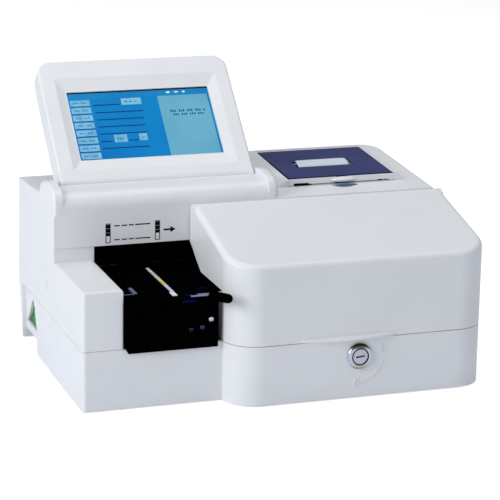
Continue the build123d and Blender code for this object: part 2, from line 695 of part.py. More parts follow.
def pusher_arm():
    """Thin arm that pushes the strip along the stage."""
    low = STAGE_Z + SEAT
    arm = block(*PUSHER_X, 18, ROD_Y - 4.6, low, low + 2.0)
    foot = block(PUSHER_X[0], PUSHER_X[1] + 6, ROD_Y - 5.6, ROD_Y - 4.6, low, low + 4.5)
    return arm + (foot - block(PUSHER_X[0] - 1, WIDTH, 0, ROD_Y - 5.6, 0, 200))


def pulley(x, bore):
    """Flanged belt pulley about an axle along Y."""
    drum = rod_y(BELT_Y[0] - 0.3, BELT_Y[1] + 0.3, x, PULLEY_Z, PULLEY_R - 0.03)
    flanges = rod_y(BELT_Y[0] - 1.3, BELT_Y[0] - 0.3, x, PULLEY_Z, PULLEY_R + 2)
    flanges = flanges + rod_y(BELT_Y[1] + 0.3, BELT_Y[1] + 1.3, x, PULLEY_Z, PULLEY_R + 2)
    return drum + flanges - rod_y(BELT_Y[0] - 5, BELT_Y[1] + 5, x, PULLEY_Z, bore)


def motor_pulley():
    """Pulley fixed on the motor's shaft."""
    return pulley(PULLEY_X[1], AXLE_R)


def motor_shaft():
    """Shaft that turns with the motor pulley."""
    return rod_y(BELT_Y[0] - 2, MOTOR_Y[0] + 8, PULLEY_X[1], PULLEY_Z, AXLE_R)


def idler_pulley():
    """Free pulley at the left end of the belt."""
    return pulley(PULLEY_X[0], AXLE_R + RUN_FIT)


def idler_axle():
    """Pin of the idler, fixed in the frame."""
    return rod_y(BELT_Y[0] - 2, MOTOR_Y[0], PULLEY_X[0], PULLEY_Z, AXLE_R)


def drive_belt():
    """Closed toothed belt round both pulleys."""
    span = PULLEY_X[1] - PULLEY_X[0]
    middle = Pos(sum(PULLEY_X) / 2, PULLEY_Z)
    outer = middle * SlotCenterToCenter(span, 2 * (PULLEY_R + BELT_THICK))
    inner = middle * SlotCenterToCenter(span, 2 * PULLEY_R)
    return prism_y(*BELT_Y, outer - inner)


def stepper_motor():
    """Square stepping motor behind the frame's bracket."""
    half = MOTOR_SIZE / 2
    x = PULLEY_X[1]
    body = prism_y(*MOTOR_Y, Pos(x, PULLEY_Z) * RectangleRounded(MOTOR_SIZE, MOTOR_SIZE, 4))
    return body - rod_y(MOTOR_Y[0] - 1, MOTOR_Y[0] + 9, x, PULLEY_Z, AXLE_R + RUN_FIT)


# ---- optics -----------------------------------------------------------------
HEAD_X = (168.0, 206.0)
HEAD_Y = (8.0, FACE_Y)
HEAD_Z = (113.0, 140.0)
TILE_X = (176.0, 198.0)
TILE_Y = (18.0, 100.0)
TILE_THICK = 1.2


def optical_head():
    """Dark housing over the strip's path, fixed to the inner wall."""
    box = block(*HEAD_X, *HEAD_Y, *HEAD_Z)
    inner = block(HEAD_X[0] + 2, HEAD_X[1] - 2, HEAD_Y[0] + 2, HEAD_Y[1] - 4, HEAD_Z[0] - 1, HEAD_Z[1] - 2)
    rim = block(HEAD_X[0] + 2, HEAD_X[1] - 2, HEAD_Y[0] + 2, HEAD_Y[1] - 4, HEAD_Z[0], HEAD_Z[0] + 2)
    slit = block(*TILE_X, HEAD_Y[0] + 6, HEAD_Y[1] - 8, HEAD_Z[0] - 1, HEAD_Z[0] + 3)
    return box - inner + rim - slit


def head_window():
    """Clear strip over the head's slit."""
    return block(TILE_X[0] - 3, TILE_X[1] + 3, HEAD_Y[0] + 3, HEAD_Y[1] - 5, HEAD_Z[0] + 2, HEAD_Z[0] + 3.5)


def sensor_board():
    """Board with the lamps and the line sensor, in the roof of the head."""
    x0, x1 = HEAD_X[0] + 2, HEAD_X[1] - 2
    board = block(x0, x1, HEAD_Y[0] + 2, HEAD_Y[1] - 4, HEAD_Z[1] - 4, HEAD_Z[1] - 2.4)
    chips = union(*[
        block(x, x + 4, 14 + 9 * i, 18 + 9 * i, HEAD_Z[1] - 5.5, HEAD_Z[1] - 4)
        for i in range(10)
        for x in (x0 + 3, x1 - 7)
    ])
    sensor = block(184, 190, 20, 96, HEAD_Z[1] - 7, HEAD_Z[1] - 4)
    return board + chips + sensor


def reference_tile():
    """White tile let into the stage under the head."""
    return block(*TILE_X, *TILE_Y, STAGE_Z - TILE_THICK, STAGE_Z)


# ---- waste bin --------------------------------------------------------------
WELL_TOP_Z = 58.0
BIN_GAP = 1.5
BIN_TOP_Z = 72.0


def tray(x0, x1, y0, y1, z0, z1, wall):
    """Open box with a closed floor."""
    outer = block(x0, x1, y0, y1, z0, z1)
    return outer - block(x0 + wall, x1 - wall, y0 + wall, y1 - wall, z0 + wall, z1 + 1)


def bin_well():
    """Wet-side liner in the lower case, that guides the waste bin."""
    return tray(*WELL_X, *WELL_Y, FOOT_SHOW + WALL, WELL_TOP_Z, 2.0)


def waste_bin():
    """Lift-out bin for used strips, with a finger rim."""
    gap = 2.0 + BIN_GAP
    x0, x1, y0, y1 = WELL_X[0] + gap, WELL_X[1] - gap, WELL_Y[0] + gap, WELL_Y[1] - gap
    floor = FOOT_SHOW + WALL + 2.0
    box = tray(x0, x1, y0, y1, floor, BIN_TOP_Z, 1.8)
    rim = block(x0 - 1.2, x1 + 1.2, y0 - 1.2, y1 + 1.2, BIN_TOP_Z - 2, BIN_TOP_Z)
    return box + (rim - block(x0 + 1, x1 - 1, y0 + 1, y1 - 1, 0, 200))


# ---- flip cover -------------------------------------------------------------
COVER_SLOT_Z = STAGE_Z + 3.0  # lower edge of the left wall over the stage
COVER_CUT_Y = 13.0
COVER_LOW_Z = 61.5            # lower edge of the closed cover
EAR_X = [(152.0, 157.0), (392.0, 397.0)]
LUG_X = [(147.0, 151.6), (157.4, 162.0), (387.0, 391.6), (397.4, 402.0)]
HINGE_SKIN = 2.4


def cover_solid(inset):
    """Solid of the flip cover, moved in by inset."""
    front_r = FRONT_CORNER_R - inset
    rear = COVER_AXIS_Y if inset else COVER_AXIS_Y + HINGE_R * 0.95
    base = SEAM_Z - 5 if inset else COVER_LOW_Z
    plan = round_rect(
        BAY_X + inset, WIDTH - inset, FRONT_Y + inset, rear, [front_r, front_r, 0, 0]
    )
    body = prism_z(base, 190, plan)
    top = polygon([
        (FRONT_Y - 40, cover_top_z(FRONT_Y - 40) - inset),
        (FACE_Y + 20, cover_top_z(FACE_Y + 20) - inset),
        (FACE_Y + 20, 260),
        (FRONT_Y - 40, 260),
    ])
    return body - prism_x(0, WIDTH + 10, top)


def hinge_tube(r0, r1):
    """Round rear end of the cover about the hinge line, over its upper half."""
    tube = rod_x(BAY_X, WIDTH, COVER_AXIS_Y, COVER_AXIS_Z, r0)
    if r1:
        tube = tube - rod_x(BAY_X - 1, WIDTH + 1, COVER_AXIS_Y, COVER_AXIS_Z, r1)
    return tube


def flip_cover():
    """Large white cover over the optics and the waste bin."""
    outer = cover_solid(0)
    top_edges = pick_edges(
        outer,
        lambda c: c.Y < FACE_Y - 5 and c.Z > cover_top_z(c.Y) - 1.0,
    )
    outer = fillet(top_edges, COVER_EDGE_R)
    inner = cover_solid(WALL)
    rear_zone = block(BAY_X - 1, WIDTH + 1, COVER_AXIS_Y, FACE_Y + 5, 0, 260)
    shell = (outer - rear_zone) - inner
    rear_walls = (outer & rear_zone) & (
        block(BAY_X, BAY_X + WALL, 0, 200, 0, 260) + block(WIDTH - WALL, WIDTH, 0, 200, 0, 260)
    )
    low_walls = rear_walls & block(0, WIDTH, 0, 200, 0, COVER_AXIS_Z)
    roof = hinge_tube(HINGE_R, HINGE_R - HINGE_SKIN) & block(
        BAY_X - 1, WIDTH + 1, COVER_AXIS_Y, FACE_Y + 5, COVER_AXIS_Z + 2, 260
    )
    cheeks = rod_x(BAY_X, BAY_X + WALL, COVER_AXIS_Y, COVER_AXIS_Z, HINGE_R)
    cheeks = cheeks + rod_x(WIDTH - WALL, WIDTH, COVER_AXIS_Y, COVER_AXIS_Z, HINGE_R)
    shell = shell + low_walls + roof + cheeks
    for x0, x1 in LUG_X:
        lug = rod_x(x0, x1, COVER_AXIS_Y, COVER_AXIS_Z, HINGE_R - HINGE_SKIN + 0.4)
        lug = lug + block(x0, x1, COVER_AXIS_Y - 12, COVER_AXIS_Y, COVER_AXIS_Z - 2, COVER_AXIS_Z + 4)
        shell = shell + (lug - rod_x(0, WIDTH, COVER_AXIS_Y, COVER_AXIS_Z, HINGE_PIN_R))
    cut = polygon([
        (COVER_CUT_Y, 0),
        (COVER_CUT_Y, COVER_SLOT_Z),
        (71, COVER_SLOT_Z),
        (97, 126.5),
        (FACE_Y + 4, FACE_LOWER_Z),
        (FACE_Y + 4, 0),
    ])
    shell = shell - prism_x(BAY_X - 1, BAY_X + WALL + 1, cut)
    slit = block(BAY_X - 1, BAY_X + WALL + 1, STRIP_FRONT_Y - 3, COVER_CUT_Y + 1, STAGE_Z - 0.5, COVER_SLOT_Z)
    return (shell - slit) + visor()


def visor():
    """Crescent brow on the cover's lower edge, for the fingers."""
    half = (VISOR_X[1] - VISOR_X[0]) / 2
    mid = sum(VISOR_X) / 2
    big = (half ** 2 + VISOR_OUT ** 2) / (2 * VISOR_OUT)
    disc = Pos(mid, FRONT_Y - VISOR_OUT + big) * Circle(big)
    strip = Pos(mid, FRONT_Y - VISOR_OUT / 2) * Rectangle(2 * half + 2, VISOR_OUT + 1.0)
    low = COVER_LOW_Z
    brow = prism_z(low, low + VISOR_HEIGHT, disc & strip)
    slope = polygon([
        (FRONT_Y - VISOR_OUT - 2, low + 1.0),
        (FRONT_Y + 1, low + VISOR_HEIGHT),
        (FRONT_Y + 1, low + VISOR_HEIGHT + 5),
        (FRONT_Y - VISOR_OUT - 2, low + VISOR_HEIGHT + 5),
    ])
    return brow - prism_x(0, WIDTH, slope)


def cover_hinge_brackets():
    """Ears on the inner wall that hold the cover's hinge pins."""
    ears = []
    y, z = COVER_AXIS_Y, COVER_AXIS_Z
    for x0, x1 in EAR_X:
        arm = prism_x(x0, x1, polygon([
            (FACE_Y, z - 24),
            (FACE_Y, z - 11),
            (y + 2.6, z - 8.6),
            (y + 2.6, z),
            (y - 2.6, z),
            (y - 2.6, z - 12),
        ]))
        foot = block(x0 - 4, x1 + 4, FACE_Y - 2, FACE_Y, z - 26, z - 10)
        ears.append(arm + foot + rod_x(x0, x1, y, z, 5.0) - rod_x(x0, x1, y, z, HINGE_PIN_R + RUN_FIT))
    return union(*ears)


def cover_hinge_pins():
    """Steel pins pressed in the cover's lugs."""
    pairs = [(LUG_X[0][0], LUG_X[1][1]), (LUG_X[2][0], LUG_X[3][1])]
    return union(*[rod_x(x0, x1, COVER_AXIS_Y, COVER_AXIS_Z, HINGE_PIN_R) for x0, x1 in pairs])


# ---- cam lock ---------------------------------------------------------------
CAM_Y = (-9.0, -7.0)
CAM_REACH = 22.0              # from the lock's axis to the tip
CAM_TAIL = 6.0
CAM_WIDTH = 11.0
CATCH_X = (LOCK_X - 9.0, LOCK_X + 9.0)
CATCH_THICK = 2.5
CATCH_LOW_Z = 62.0
LOCK_REAR_Y = -9.5
NUT_R = 12.5


def lock_body():
    """Chromed lock barrel with its round bezel."""
    bezel = rod_y(LOCK_FRONT_Y, FRONT_Y, LOCK_X, LOCK_Z, LOCK_BEZEL_R)
    bezel = fillet(pick_edges(bezel, lambda c: c.Y < LOCK_FRONT_Y + 0.1), 2.2)
    barrel = rod_y(FRONT_Y, LOCK_REAR_Y, LOCK_X, LOCK_Z, LOCK_BODY_R)
    body = bezel + barrel
    return body - rod_y(LOCK_FRONT_Y - 1, LOCK_REAR_Y + 1, LOCK_X, LOCK_Z, LOCK_PLUG_R + RUN_FIT)


def lock_nut():
    """Nut that clamps the lock from inside."""
    nut = prism_y(FRONT_Y + WALL, FRONT_Y + WALL + 4, Pos(LOCK_X, LOCK_Z) * RegularPolygon(NUT_R, 6))
    return nut - rod_y(FRONT_Y, 0, LOCK_X, LOCK_Z, LOCK_BODY_R)


def lock_plug():
    """Turning plug with its key slot."""
    front = LOCK_FRONT_Y + 0.6
    plug = rod_y(front, CAM_Y[0], LOCK_X, LOCK_Z, LOCK_PLUG_R)
    slot = Pos(LOCK_X, 0, LOCK_Z) * Rot(0, -6, 0) * block(-4.6, 4.6, front - 1, front + 9, -0.8, 0.8)
    return plug - slot


def lock_cam():
    """Latch arm on the back of the plug; level when unlocked."""
    arm = Pos(LOCK_X + (CAM_REACH - CAM_TAIL) / 2, LOCK_Z) * RectangleRounded(
        CAM_REACH + CAM_TAIL, CAM_WIDTH, CAM_WIDTH / 2 - 0.5
    )
    return prism_y(*CAM_Y, arm)


def cover_catch():
    """Hooked plate inside the cover; the raised cam stands in front of its lip."""
    under = LOCK_Z + CAM_REACH + 1.5
    back = CAM_Y[1] + 0.6
    arm = block(*CATCH_X, FRONT_Y + WALL, back + CATCH_THICK, under, under + CATCH_THICK)
    lip = block(*CATCH_X, back, back + CATCH_THICK, CATCH_LOW_Z, under + 1)
    root = block(*CATCH_X, FRONT_Y + WALL, FRONT_Y + WALL + CATCH_THICK, under, under + 9)
    return arm + lip + root


# ---- display ----------------------------------------------------------------
def display_solid(inset):
    """Display housing in its own axes, moved in by inset, with the round foot."""
    low = DISPLAY_AXIS_V - DISPLAY_FOOT_R + inset
    high = DISPLAY_H - inset
    corner = DISPLAY_CORNER_R - inset
    outline = round_rect(inset, DISPLAY_W - inset, low, high, [0, 0, corner, corner])
    slab = Pos(0, 0, -DISPLAY_DEPTH) * extrude(outline, amount=DISPLAY_DEPTH - inset)
    if inset == 0:
        slab = fillet(pick_edges(slab, lambda c: c.Z > -0.01 and c.Y > low + 1), DISPLAY_SOFT_R)
    section = Pos(DISPLAY_AXIS_V, -DISPLAY_FOOT_R) * Circle(DISPLAY_FOOT_R - inset)
    section = section + polygon([
        (DISPLAY_AXIS_V, -inset),
        (DISPLAY_H + 5, -inset),
        (DISPLAY_H + 5, -DISPLAY_DEPTH + 8 + inset),
        (DISPLAY_H - 30, -DISPLAY_DEPTH + inset),
        (DISPLAY_AXIS_V, -DISPLAY_DEPTH + inset),
    ])
    return slab & prism_x(0, DISPLAY_W, section)


def display_bezel():
    """Front frame of the display, with its sloped recess round the screen."""
    body = display_solid(0) & block(-5, DISPLAY_W + 5, -20, 170, -DISPLAY_SPLIT, 5)
    recess = loft([
        Pos(0, 0, 0.01) * round_rect(*BEVEL_U, *BEVEL_V, 3),
        Pos(0, 0, -BEVEL_DEEP) * round_rect(SCREEN_U[0] - 1, SCREEN_U[1] + 1, SCREEN_V[0] - 1, SCREEN_V[1] + 1, 1),
    ])
    body = body - Part(recess.wrapped)
    body = body - block(*SCREEN_U, *SCREEN_V, -DISPLAY_SPLIT - 1, 1)
    hollow = block(8, DISPLAY_W - 8, 18, DISPLAY_H - 8, -DISPLAY_SPLIT - 1, -4)
    return DISPLAY.location * (body - hollow)


def display_back():
    """Rear shell of the display, with its hinge foot."""
    body = display_solid(0) & block(-5, DISPLAY_W + 5, -20, DISPLAY_H + 18, -DISPLAY_DEPTH - 5, -DISPLAY_SPLIT - SEAT)
    hollow = display_solid(WALL) & block(0, DISPLAY_W, 20, DISPLAY_H + 18, -DISPLAY_DEPTH, 0)
    foot = block(30, DISPLAY_W - 30, DISPLAY_AXIS_V - 4, 30, -DISPLAY_DEPTH + 6, 0)
    body = body - hollow - foot
    for u in (0, DISPLAY_W):
        body = body - rod_x(u - 16, u + 16, DISPLAY_AXIS_V, -DISPLAY_FOOT_R, TILT_PIN_R + RUN_FIT)
    return DISPLAY.location * body


def touch_panel():
    """Glass touch panel behind the frame's opening."""
    return DISPLAY.location * block(
        SCREEN_U[0] - 5, SCREEN_U[1] + 5, SCREEN_V[0] - 5, SCREEN_V[1] + 5, -5.2, -4.0
    )


def lcd_panel():
    """Seven-inch screen module."""
    return DISPLAY.location * block(
        SCREEN_U[0] - 6, SCREEN_U[1] + 6, SCREEN_V[0] - 7, SCREEN_V[1] + 6, -11.0, -5.2
    )


def display_board():
    """Driver board behind the screen, on four posts."""
    board = block(40, 165, 40, 105, -15.6, -14.0)
    chips = block(60, 82, 60, 82, -17.2, -15.6) + block(100, 130, 70, 84, -17.0, -15.6)
    posts = union(*[rod_z(-14.0, -11.0, u, v, 2.5) for u in (45, 160) for v in (45, 100)])
    return DISPLAY.location * (board + chips + posts)


def tilt_pins():
    """Steel pins on which the display tilts."""
    y, z = DISPLAY_AXIS.Y, DISPLAY_AXIS.Z
    right = DISPLAY_CORNER[0] + DISPLAY_W
    left_pin = rod_x(WALL, DISPLAY_CORNER[0] + 15, y, z, TILT_PIN_R)
    return left_pin + rod_x(right - 15, HUMP_END_X - WALL, y, z, TILT_PIN_R)


# ---- printer ----------------------------------------------------------------
ROLL_V = 108.0
ROLL_W = -24.5
PLATEN_V = 69.6
PLATEN_W = -8.0
PLATEN_R = 5.8
PAPER_THICK = 0.3
NIP_V = 76.0
PAPER_X = (SLOT_X[0] + 3.0, SLOT_X[0] + 3.0 + PAPER_WIDTH)
BOX_W = (-48.0, -3.2)


def lid_solid():
    """Lid block in deck axes, with its round hinge end."""
    x0, x1 = LID_X[0] + LID_GAP, LID_X[1] - LID_GAP
    slab = block(x0, x1, LID_V[0], LID_AXIS_V, LID_AXIS_W - LID_END_R, LID_RISE)
    return slab + rod_x(x0, x1, LID_AXIS_V, LID_AXIS_W, LID_END_R)


def printer_lid():
    """White lid of the paper bay, under its navy panel."""
    low = LID_AXIS_W - LID_END_R
    body = lid_solid() - block(0, WIDTH, LID_V[0] + 2.5, LID_AXIS_V - 3, LID_RISE - NAVY_THICK, 20)
    body = body - block(LID_X[0] + 4, LID_X[1] - 4, LID_V[0] + 4, LID_AXIS_V - 5, -5, low + 2.6)
    body = body - block(*SLOT_X, *SLOT_V, -5, 20)
    body = body - Pos(SCOOP_X, LID_V[0] - 6, LID_RISE - 2.5) * Sphere(SCOOP_R - 3)
    body = body - rod_x(LID_X[0] - 5, LID_X[0] + 6, LID_AXIS_V, LID_AXIS_W, LID_PIN_R + RUN_FIT)
    body = body - rod_x(LID_X[1] - 6, LID_X[1] + 5, LID_AXIS_V, LID_AXIS_W, LID_PIN_R + RUN_FIT)
    return DECK.location * body


def printer_panel():
    """Navy panel on the lid, with the paper window."""
    x0, x1 = LID_X[0] + 0.6, LID_X[1] - 0.6
    panel = block(x0, x1, LID_V[0] + 2.5, LID_AXIS_V - 3, LID_RISE - NAVY_THICK, LID_RISE + 0.4)
    return DECK.location * (panel - block(*SLOT_X, *SLOT_V, -5, 20))


def lid_pins():
    """Hinge pins of the printer lid."""
    left = rod_x(LID_X[0] - 4, LID_X[0] + 5, LID_AXIS_V, LID_AXIS_W, LID_PIN_R)
    right = rod_x(LID_X[1] - 5, LID_X[1] + 4, LID_AXIS_V, LID_AXIS_W, LID_PIN_R)
    return DECK.location * (left + right)


def printer_box():
    """Bay that hangs under the deck and holds the paper roll and the platen."""
    x0, x1 = OPENING_X
    v0, v1 = OPENING_V
    wall = PRINTER_WALL
    outer = block(x0, x1, v0, v1, *BOX_W)
    flange = block(x0 - 4, x1 + 4, v0 - 4, v1 + 4, BOX_W[1] - 2, BOX_W[1])
    box = outer + flange - block(x0 + wall, x1 - wall, v0 + wall, v1 - wall, BOX_W[0] + wall, 5)
    box = box - rod_x(x0 - 1, x1 + 1, PLATEN_V, PLATEN_W, 2.5 + RUN_FIT)
    box = box - rod_x(x0 - 1, x1 + 1, ROLL_V, ROLL_W, ROLL_CORE_R - RUN_FIT)
    return DECK.location * box


def platen_roller():
    """Rubber roller on its shaft, that feeds the paper."""
    rubber = rod_x(PAPER_X[0] - 1, PAPER_X[1] + 1, PLATEN_V, PLATEN_W, PLATEN_R)
    shaft = rod_x(OPENING_X[0], OPENING_X[1], PLATEN_V, PLATEN_W, 2.5)
    return DECK.location * (rubber + shaft)


def print_head():
    """Heater bar behind the paper, across the bay."""
    x0, x1 = OPENING_X[0] + PRINTER_WALL, OPENING_X[1] - PRINTER_WALL
    bar = block(x0, x1, NIP_V + 2.2, NIP_V + 6, -14, -3.5)
    face = block(PAPER_X[0], PAPER_X[1], NIP_V + 0.45, NIP_V + 2.2, -11, -5)
    return DECK.location * (bar + face)


def roll_spindle():
    """Fixed spindle of the paper roll."""
    return DECK.location * rod_x(OPENING_X[0], OPENING_X[1], ROLL_V, ROLL_W, ROLL_CORE_R - RUN_FIT)


def paper_roll():
    """Thermal paper roll."""
    roll = rod_x(*PAPER_X, ROLL_V, ROLL_W, ROLL_R)
    return DECK.location * (roll - rod_x(0, WIDTH, ROLL_V, ROLL_W, ROLL_CORE_R))


def paper_web():
    """Paper from the roll, up past the platen and out of the window."""
    path = [
        (ROLL_V - ROLL_R - 0.5, ROLL_W - 2),
        (ROLL_V - ROLL_R - 1.5, ROLL_W + 6),
        (NIP_V + 1.0, -16.0),
        (NIP_V, -9.5),
        (NIP_V, -5.0),
        (NIP_V - 0.4, 3.0),
        (NIP_V + 1.0, 6.0),
        (NIP_V + 5.0, 8.4),
        (SLOT_V[1] - 1.5, 9.6),
    ]
    return DECK.location * prism_x(*PAPER_X, ribbon(path, PAPER_THICK))


# ---- electronics and sockets ------------------------------------------------
def main_board():
    """Main circuit board with its larger chips."""
    board = block(*BOARD_X, *BOARD_Y, BOARD_Z, BOARD_Z + 1.6)
    top = BOARD_Z + 1.6
    chips = [
        (82, 165, 26, 26, 2),
        (120, 165, 18, 18, 2),
        (152, 155, 14, 30, 3),
        (75, 205, 12, 20, 8),
        (182, 200, 16, 16, 9),
    ]
    for x, y, w, d, h in chips:
        board = board + block(x, x + w, y, y + d, top, top + h)
    return board


def board_screws():
    """Screws of the main board."""
    top = BOARD_Z + 1.6
    return union(*[rod_z(top, top + 2.0, x, y, 3.0) for x, y in board_posts()])


def side_board():
    """Green interface board seen through the side pocket's window."""
    x0 = POCKET_DEEP + WALL + 0.3
    board = block(x0, x0 + 1.6, 192, 262, 17, 54)
    parts = block(x0 + 1.6, x0 + 7, 200, 214, 26, 40) + block(x0 + 1.6, x0 + 5, 225, 245, 24, 34)
    return board + parts


def power_supply():
    """Boxed power supply on the floor."""
    box = block(*POWER_X, *POWER_Y, POWER_Z[0], POWER_Z[1])
    for i in range(9):
        x = POWER_X[0] + 14 + i * 12
        box = box - block(x, x + 6, POWER_Y[0] + 10, POWER_Y[1] - 10, POWER_Z[1] - 1.2, POWER_Z[1] + 1)
    return box


INLET_X = 150.0
SWITCH_X = 190.0
SERIAL_X = 228.0
USB_X = 268.0
SOCKET_Z = 32.0
ROCKER_TURN = 9.0


def rear_panel():
    """Metal plate that carries the sockets."""
    gap = SEAT
    plate = block(
        PANEL_X[0] + gap, PANEL_X[1] - gap, PANEL_Y, PANEL_Y + PANEL_THICK, PANEL_Z[0] + gap, PANEL_Z[1] - gap
    )
    for x, w, h in ((INLET_X, 27.4, 20.4), (SWITCH_X, 13.4, 19.4), (SERIAL_X, 19.4, 10.9), (USB_X, 14.4, 7.4)):
        plate = plate - block(x - w / 2, x + w / 2, 250, 270, SOCKET_Z - h / 2, SOCKET_Z + h / 2)
    return plate


def power_inlet():
    """Mains inlet with its three blades."""
    y1 = PANEL_Y + PANEL_THICK
    body = block(INLET_X - 13.5, INLET_X + 13.5, 238, y1, SOCKET_Z - 10, SOCKET_Z + 10)
    body = body + block(INLET_X - 16, INLET_X + 16, y1, y1 + 2, SOCKET_Z - 12, SOCKET_Z + 12)
    body = body - block(INLET_X - 11.5, INLET_X + 11.5, 243, y1 + 5, SOCKET_Z - 8, SOCKET_Z + 8)
    for x, z in ((-7, -2), (7, -2), (0, 3)):
        body = body + block(
            INLET_X + x - 1, INLET_X + x + 1, 242, y1 - 4, SOCKET_Z + z - 2.2, SOCKET_Z + z + 2.2
        )
    return body


def switch_body():
    """Frame of the mains switch."""
    y1 = PANEL_Y + PANEL_THICK
    body = block(SWITCH_X - 6.5, SWITCH_X + 6.5, 240, y1, SOCKET_Z - 9.5, SOCKET_Z + 9.5)
    body = body + block(SWITCH_X - 8, SWITCH_X + 8, y1, y1 + 1.5, SOCKET_Z - 11, SOCKET_Z + 11)
    body = body - block(SWITCH_X - 5, SWITCH_X + 5, 250, y1 + 5, SOCKET_Z - 8.5, SOCKET_Z + 8.5)
    return body - rod_x(SWITCH_X - 6.2, SWITCH_X + 6.2, y1 - 1.5, SOCKET_Z, 1.0)


def switch_rocker():
    """Rocker of the mains switch, on its cross pin."""
    y1 = PANEL_Y + PANEL_THICK
    face = polygon([
        (y1 - 3.5, SOCKET_Z - 6.6),
        (y1 + 2.6, SOCKET_Z - 7.4),
        (y1 + 1.4, SOCKET_Z),
        (y1 + 2.6, SOCKET_Z + 7.4),
        (y1 - 3.5, SOCKET_Z + 6.6),
    ])
    body = prism_x(SWITCH_X - 4.7, SWITCH_X + 4.7, face)
    body = body + rod_x(SWITCH_X - 6.1, SWITCH_X + 6.1, y1 - 1.5, SOCKET_Z, 1.0 - RUN_FIT)
    pin = Pos(0, y1 - 1.5, SOCKET_Z)
    return pin * Rot(-ROCKER_TURN, 0, 0) * pin.inverse() * body


def serial_port():
    """Nine-way serial socket."""
    y1 = PANEL_Y + PANEL_THICK
    shell = block(SERIAL_X - 9.5, SERIAL_X + 9.5, 250, y1 + 5, SOCKET_Z - 5.2, SOCKET_Z + 5.2)
    shell = shell + block(SERIAL_X - 15.5, SERIAL_X + 15.5, y1, y1 + 1, SOCKET_Z - 6.2, SOCKET_Z + 6.2)
    shell = shell - block(SERIAL_X - 8.4, SERIAL_X + 8.4, y1 - 1, y1 + 6, SOCKET_Z - 4.2, SOCKET_Z + 4.2)
    for i in range(9):
        row = i % 2
        x = SERIAL_X - 5.6 + i * 1.4
        shell = shell + rod_y(y1 - 1.5, y1 + 4, x, SOCKET_Z + (1.4 if row else -1.4), 0.5)
    for x in (SERIAL_X - 12.5, SERIAL_X + 12.5):
        shell = shell + rod_y(y1, y1 + 5, x, SOCKET_Z, 2.3)
    return shell


def usb_port():
    """Data socket."""
    y1 = PANEL_Y + PANEL_THICK
    shell = block(USB_X - 7, USB_X + 7, 248, y1 + 0.8, SOCKET_Z - 3.5, SOCKET_Z + 3.5)
    shell = shell - block(USB_X - 6.2, USB_X + 6.2, 252, y1 + 2, SOCKET_Z - 2.6, SOCKET_Z + 2.6)
    return shell + block(USB_X - 5.6, USB_X + 5.6, 251, y1 - 1, SOCKET_Z + 0.2, SOCKET_Z + 2.0)


NODES = {
    "lower_case": lower_case,
    "rubber_feet": rubber_feet,
    "upper_case": upper_case,
    "side_block_cover": side_block_cover,
    "strip_stage": strip_stage,
    "front_plate": front_plate,
    "front_plate_screws": front_plate_screws,
    "stage_rib": stage_rib,
    "stage_back_wall": stage_back_wall,
    "test_strip": test_strip,
    "strip_pads": strip_pads,
    "transport_frame": transport_frame,
    "guide_rods": guide_rods,
    "carriage": carriage,
    "pusher_arm": pusher_arm,
    "motor_pulley": motor_pulley,
    "motor_shaft": motor_shaft,
    "idler_pulley": idler_pulley,
    "idler_axle": idler_axle,
    "drive_belt": drive_belt,
    "stepper_motor": stepper_motor,
    "optical_head": optical_head,
    "head_window": head_window,
    "sensor_board": sensor_board,
    "reference_tile": reference_tile,
    "bin_well": bin_well,
    "waste_bin": waste_bin,
    "flip_cover": flip_cover,
    "cover_hinge_brackets": cover_hinge_brackets,
    "cover_hinge_pins": cover_hinge_pins,
    "cover_catch": cover_catch,
    "lock_body": lock_body,
    "lock_nut": lock_nut,
    "lock_plug": lock_plug,
    "lock_cam": lock_cam,
    "display_bezel": display_bezel,
    "display_back": display_back,
    "touch_panel": touch_panel,
    "lcd_panel": lcd_panel,
    "display_board": display_board,
    "tilt_pins": tilt_pins,
    "printer_lid": printer_lid,
    "printer_panel": printer_panel,
    "lid_pins": lid_pins,
    "printer_box": printer_box,
    "platen_roller": platen_roller,
    "print_head": print_head,
    "roll_spindle": roll_spindle,
    "paper_roll": paper_roll,
    "paper_web": paper_web,
    "main_board": main_board,
    "board_screws": board_screws,
    "side_board": side_board,
    "power_supply": power_supply,
    "rear_panel": rear_panel,
    "power_inlet": power_inlet,
    "switch_body": switch_body,
    "switch_rocker": switch_rocker,
    "serial_port": serial_port,
    "usb_port": usb_port,
}

for name, make in NODES.items():
    export_step(Pos(-MID_X, -MID_Y, 0) * make(), f"parts/{name}.step")
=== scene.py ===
"""Looks of a desk-top strip analyzer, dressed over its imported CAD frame.

All sizes are millimetres in the case's own axes, as in the part's source, until
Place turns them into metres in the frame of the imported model.
"""
from __future__ import annotations

import json
import logging
import math
from dataclasses import dataclass
from enum import Enum

import bmesh
import bpy
from mathutils import Matrix, Vector

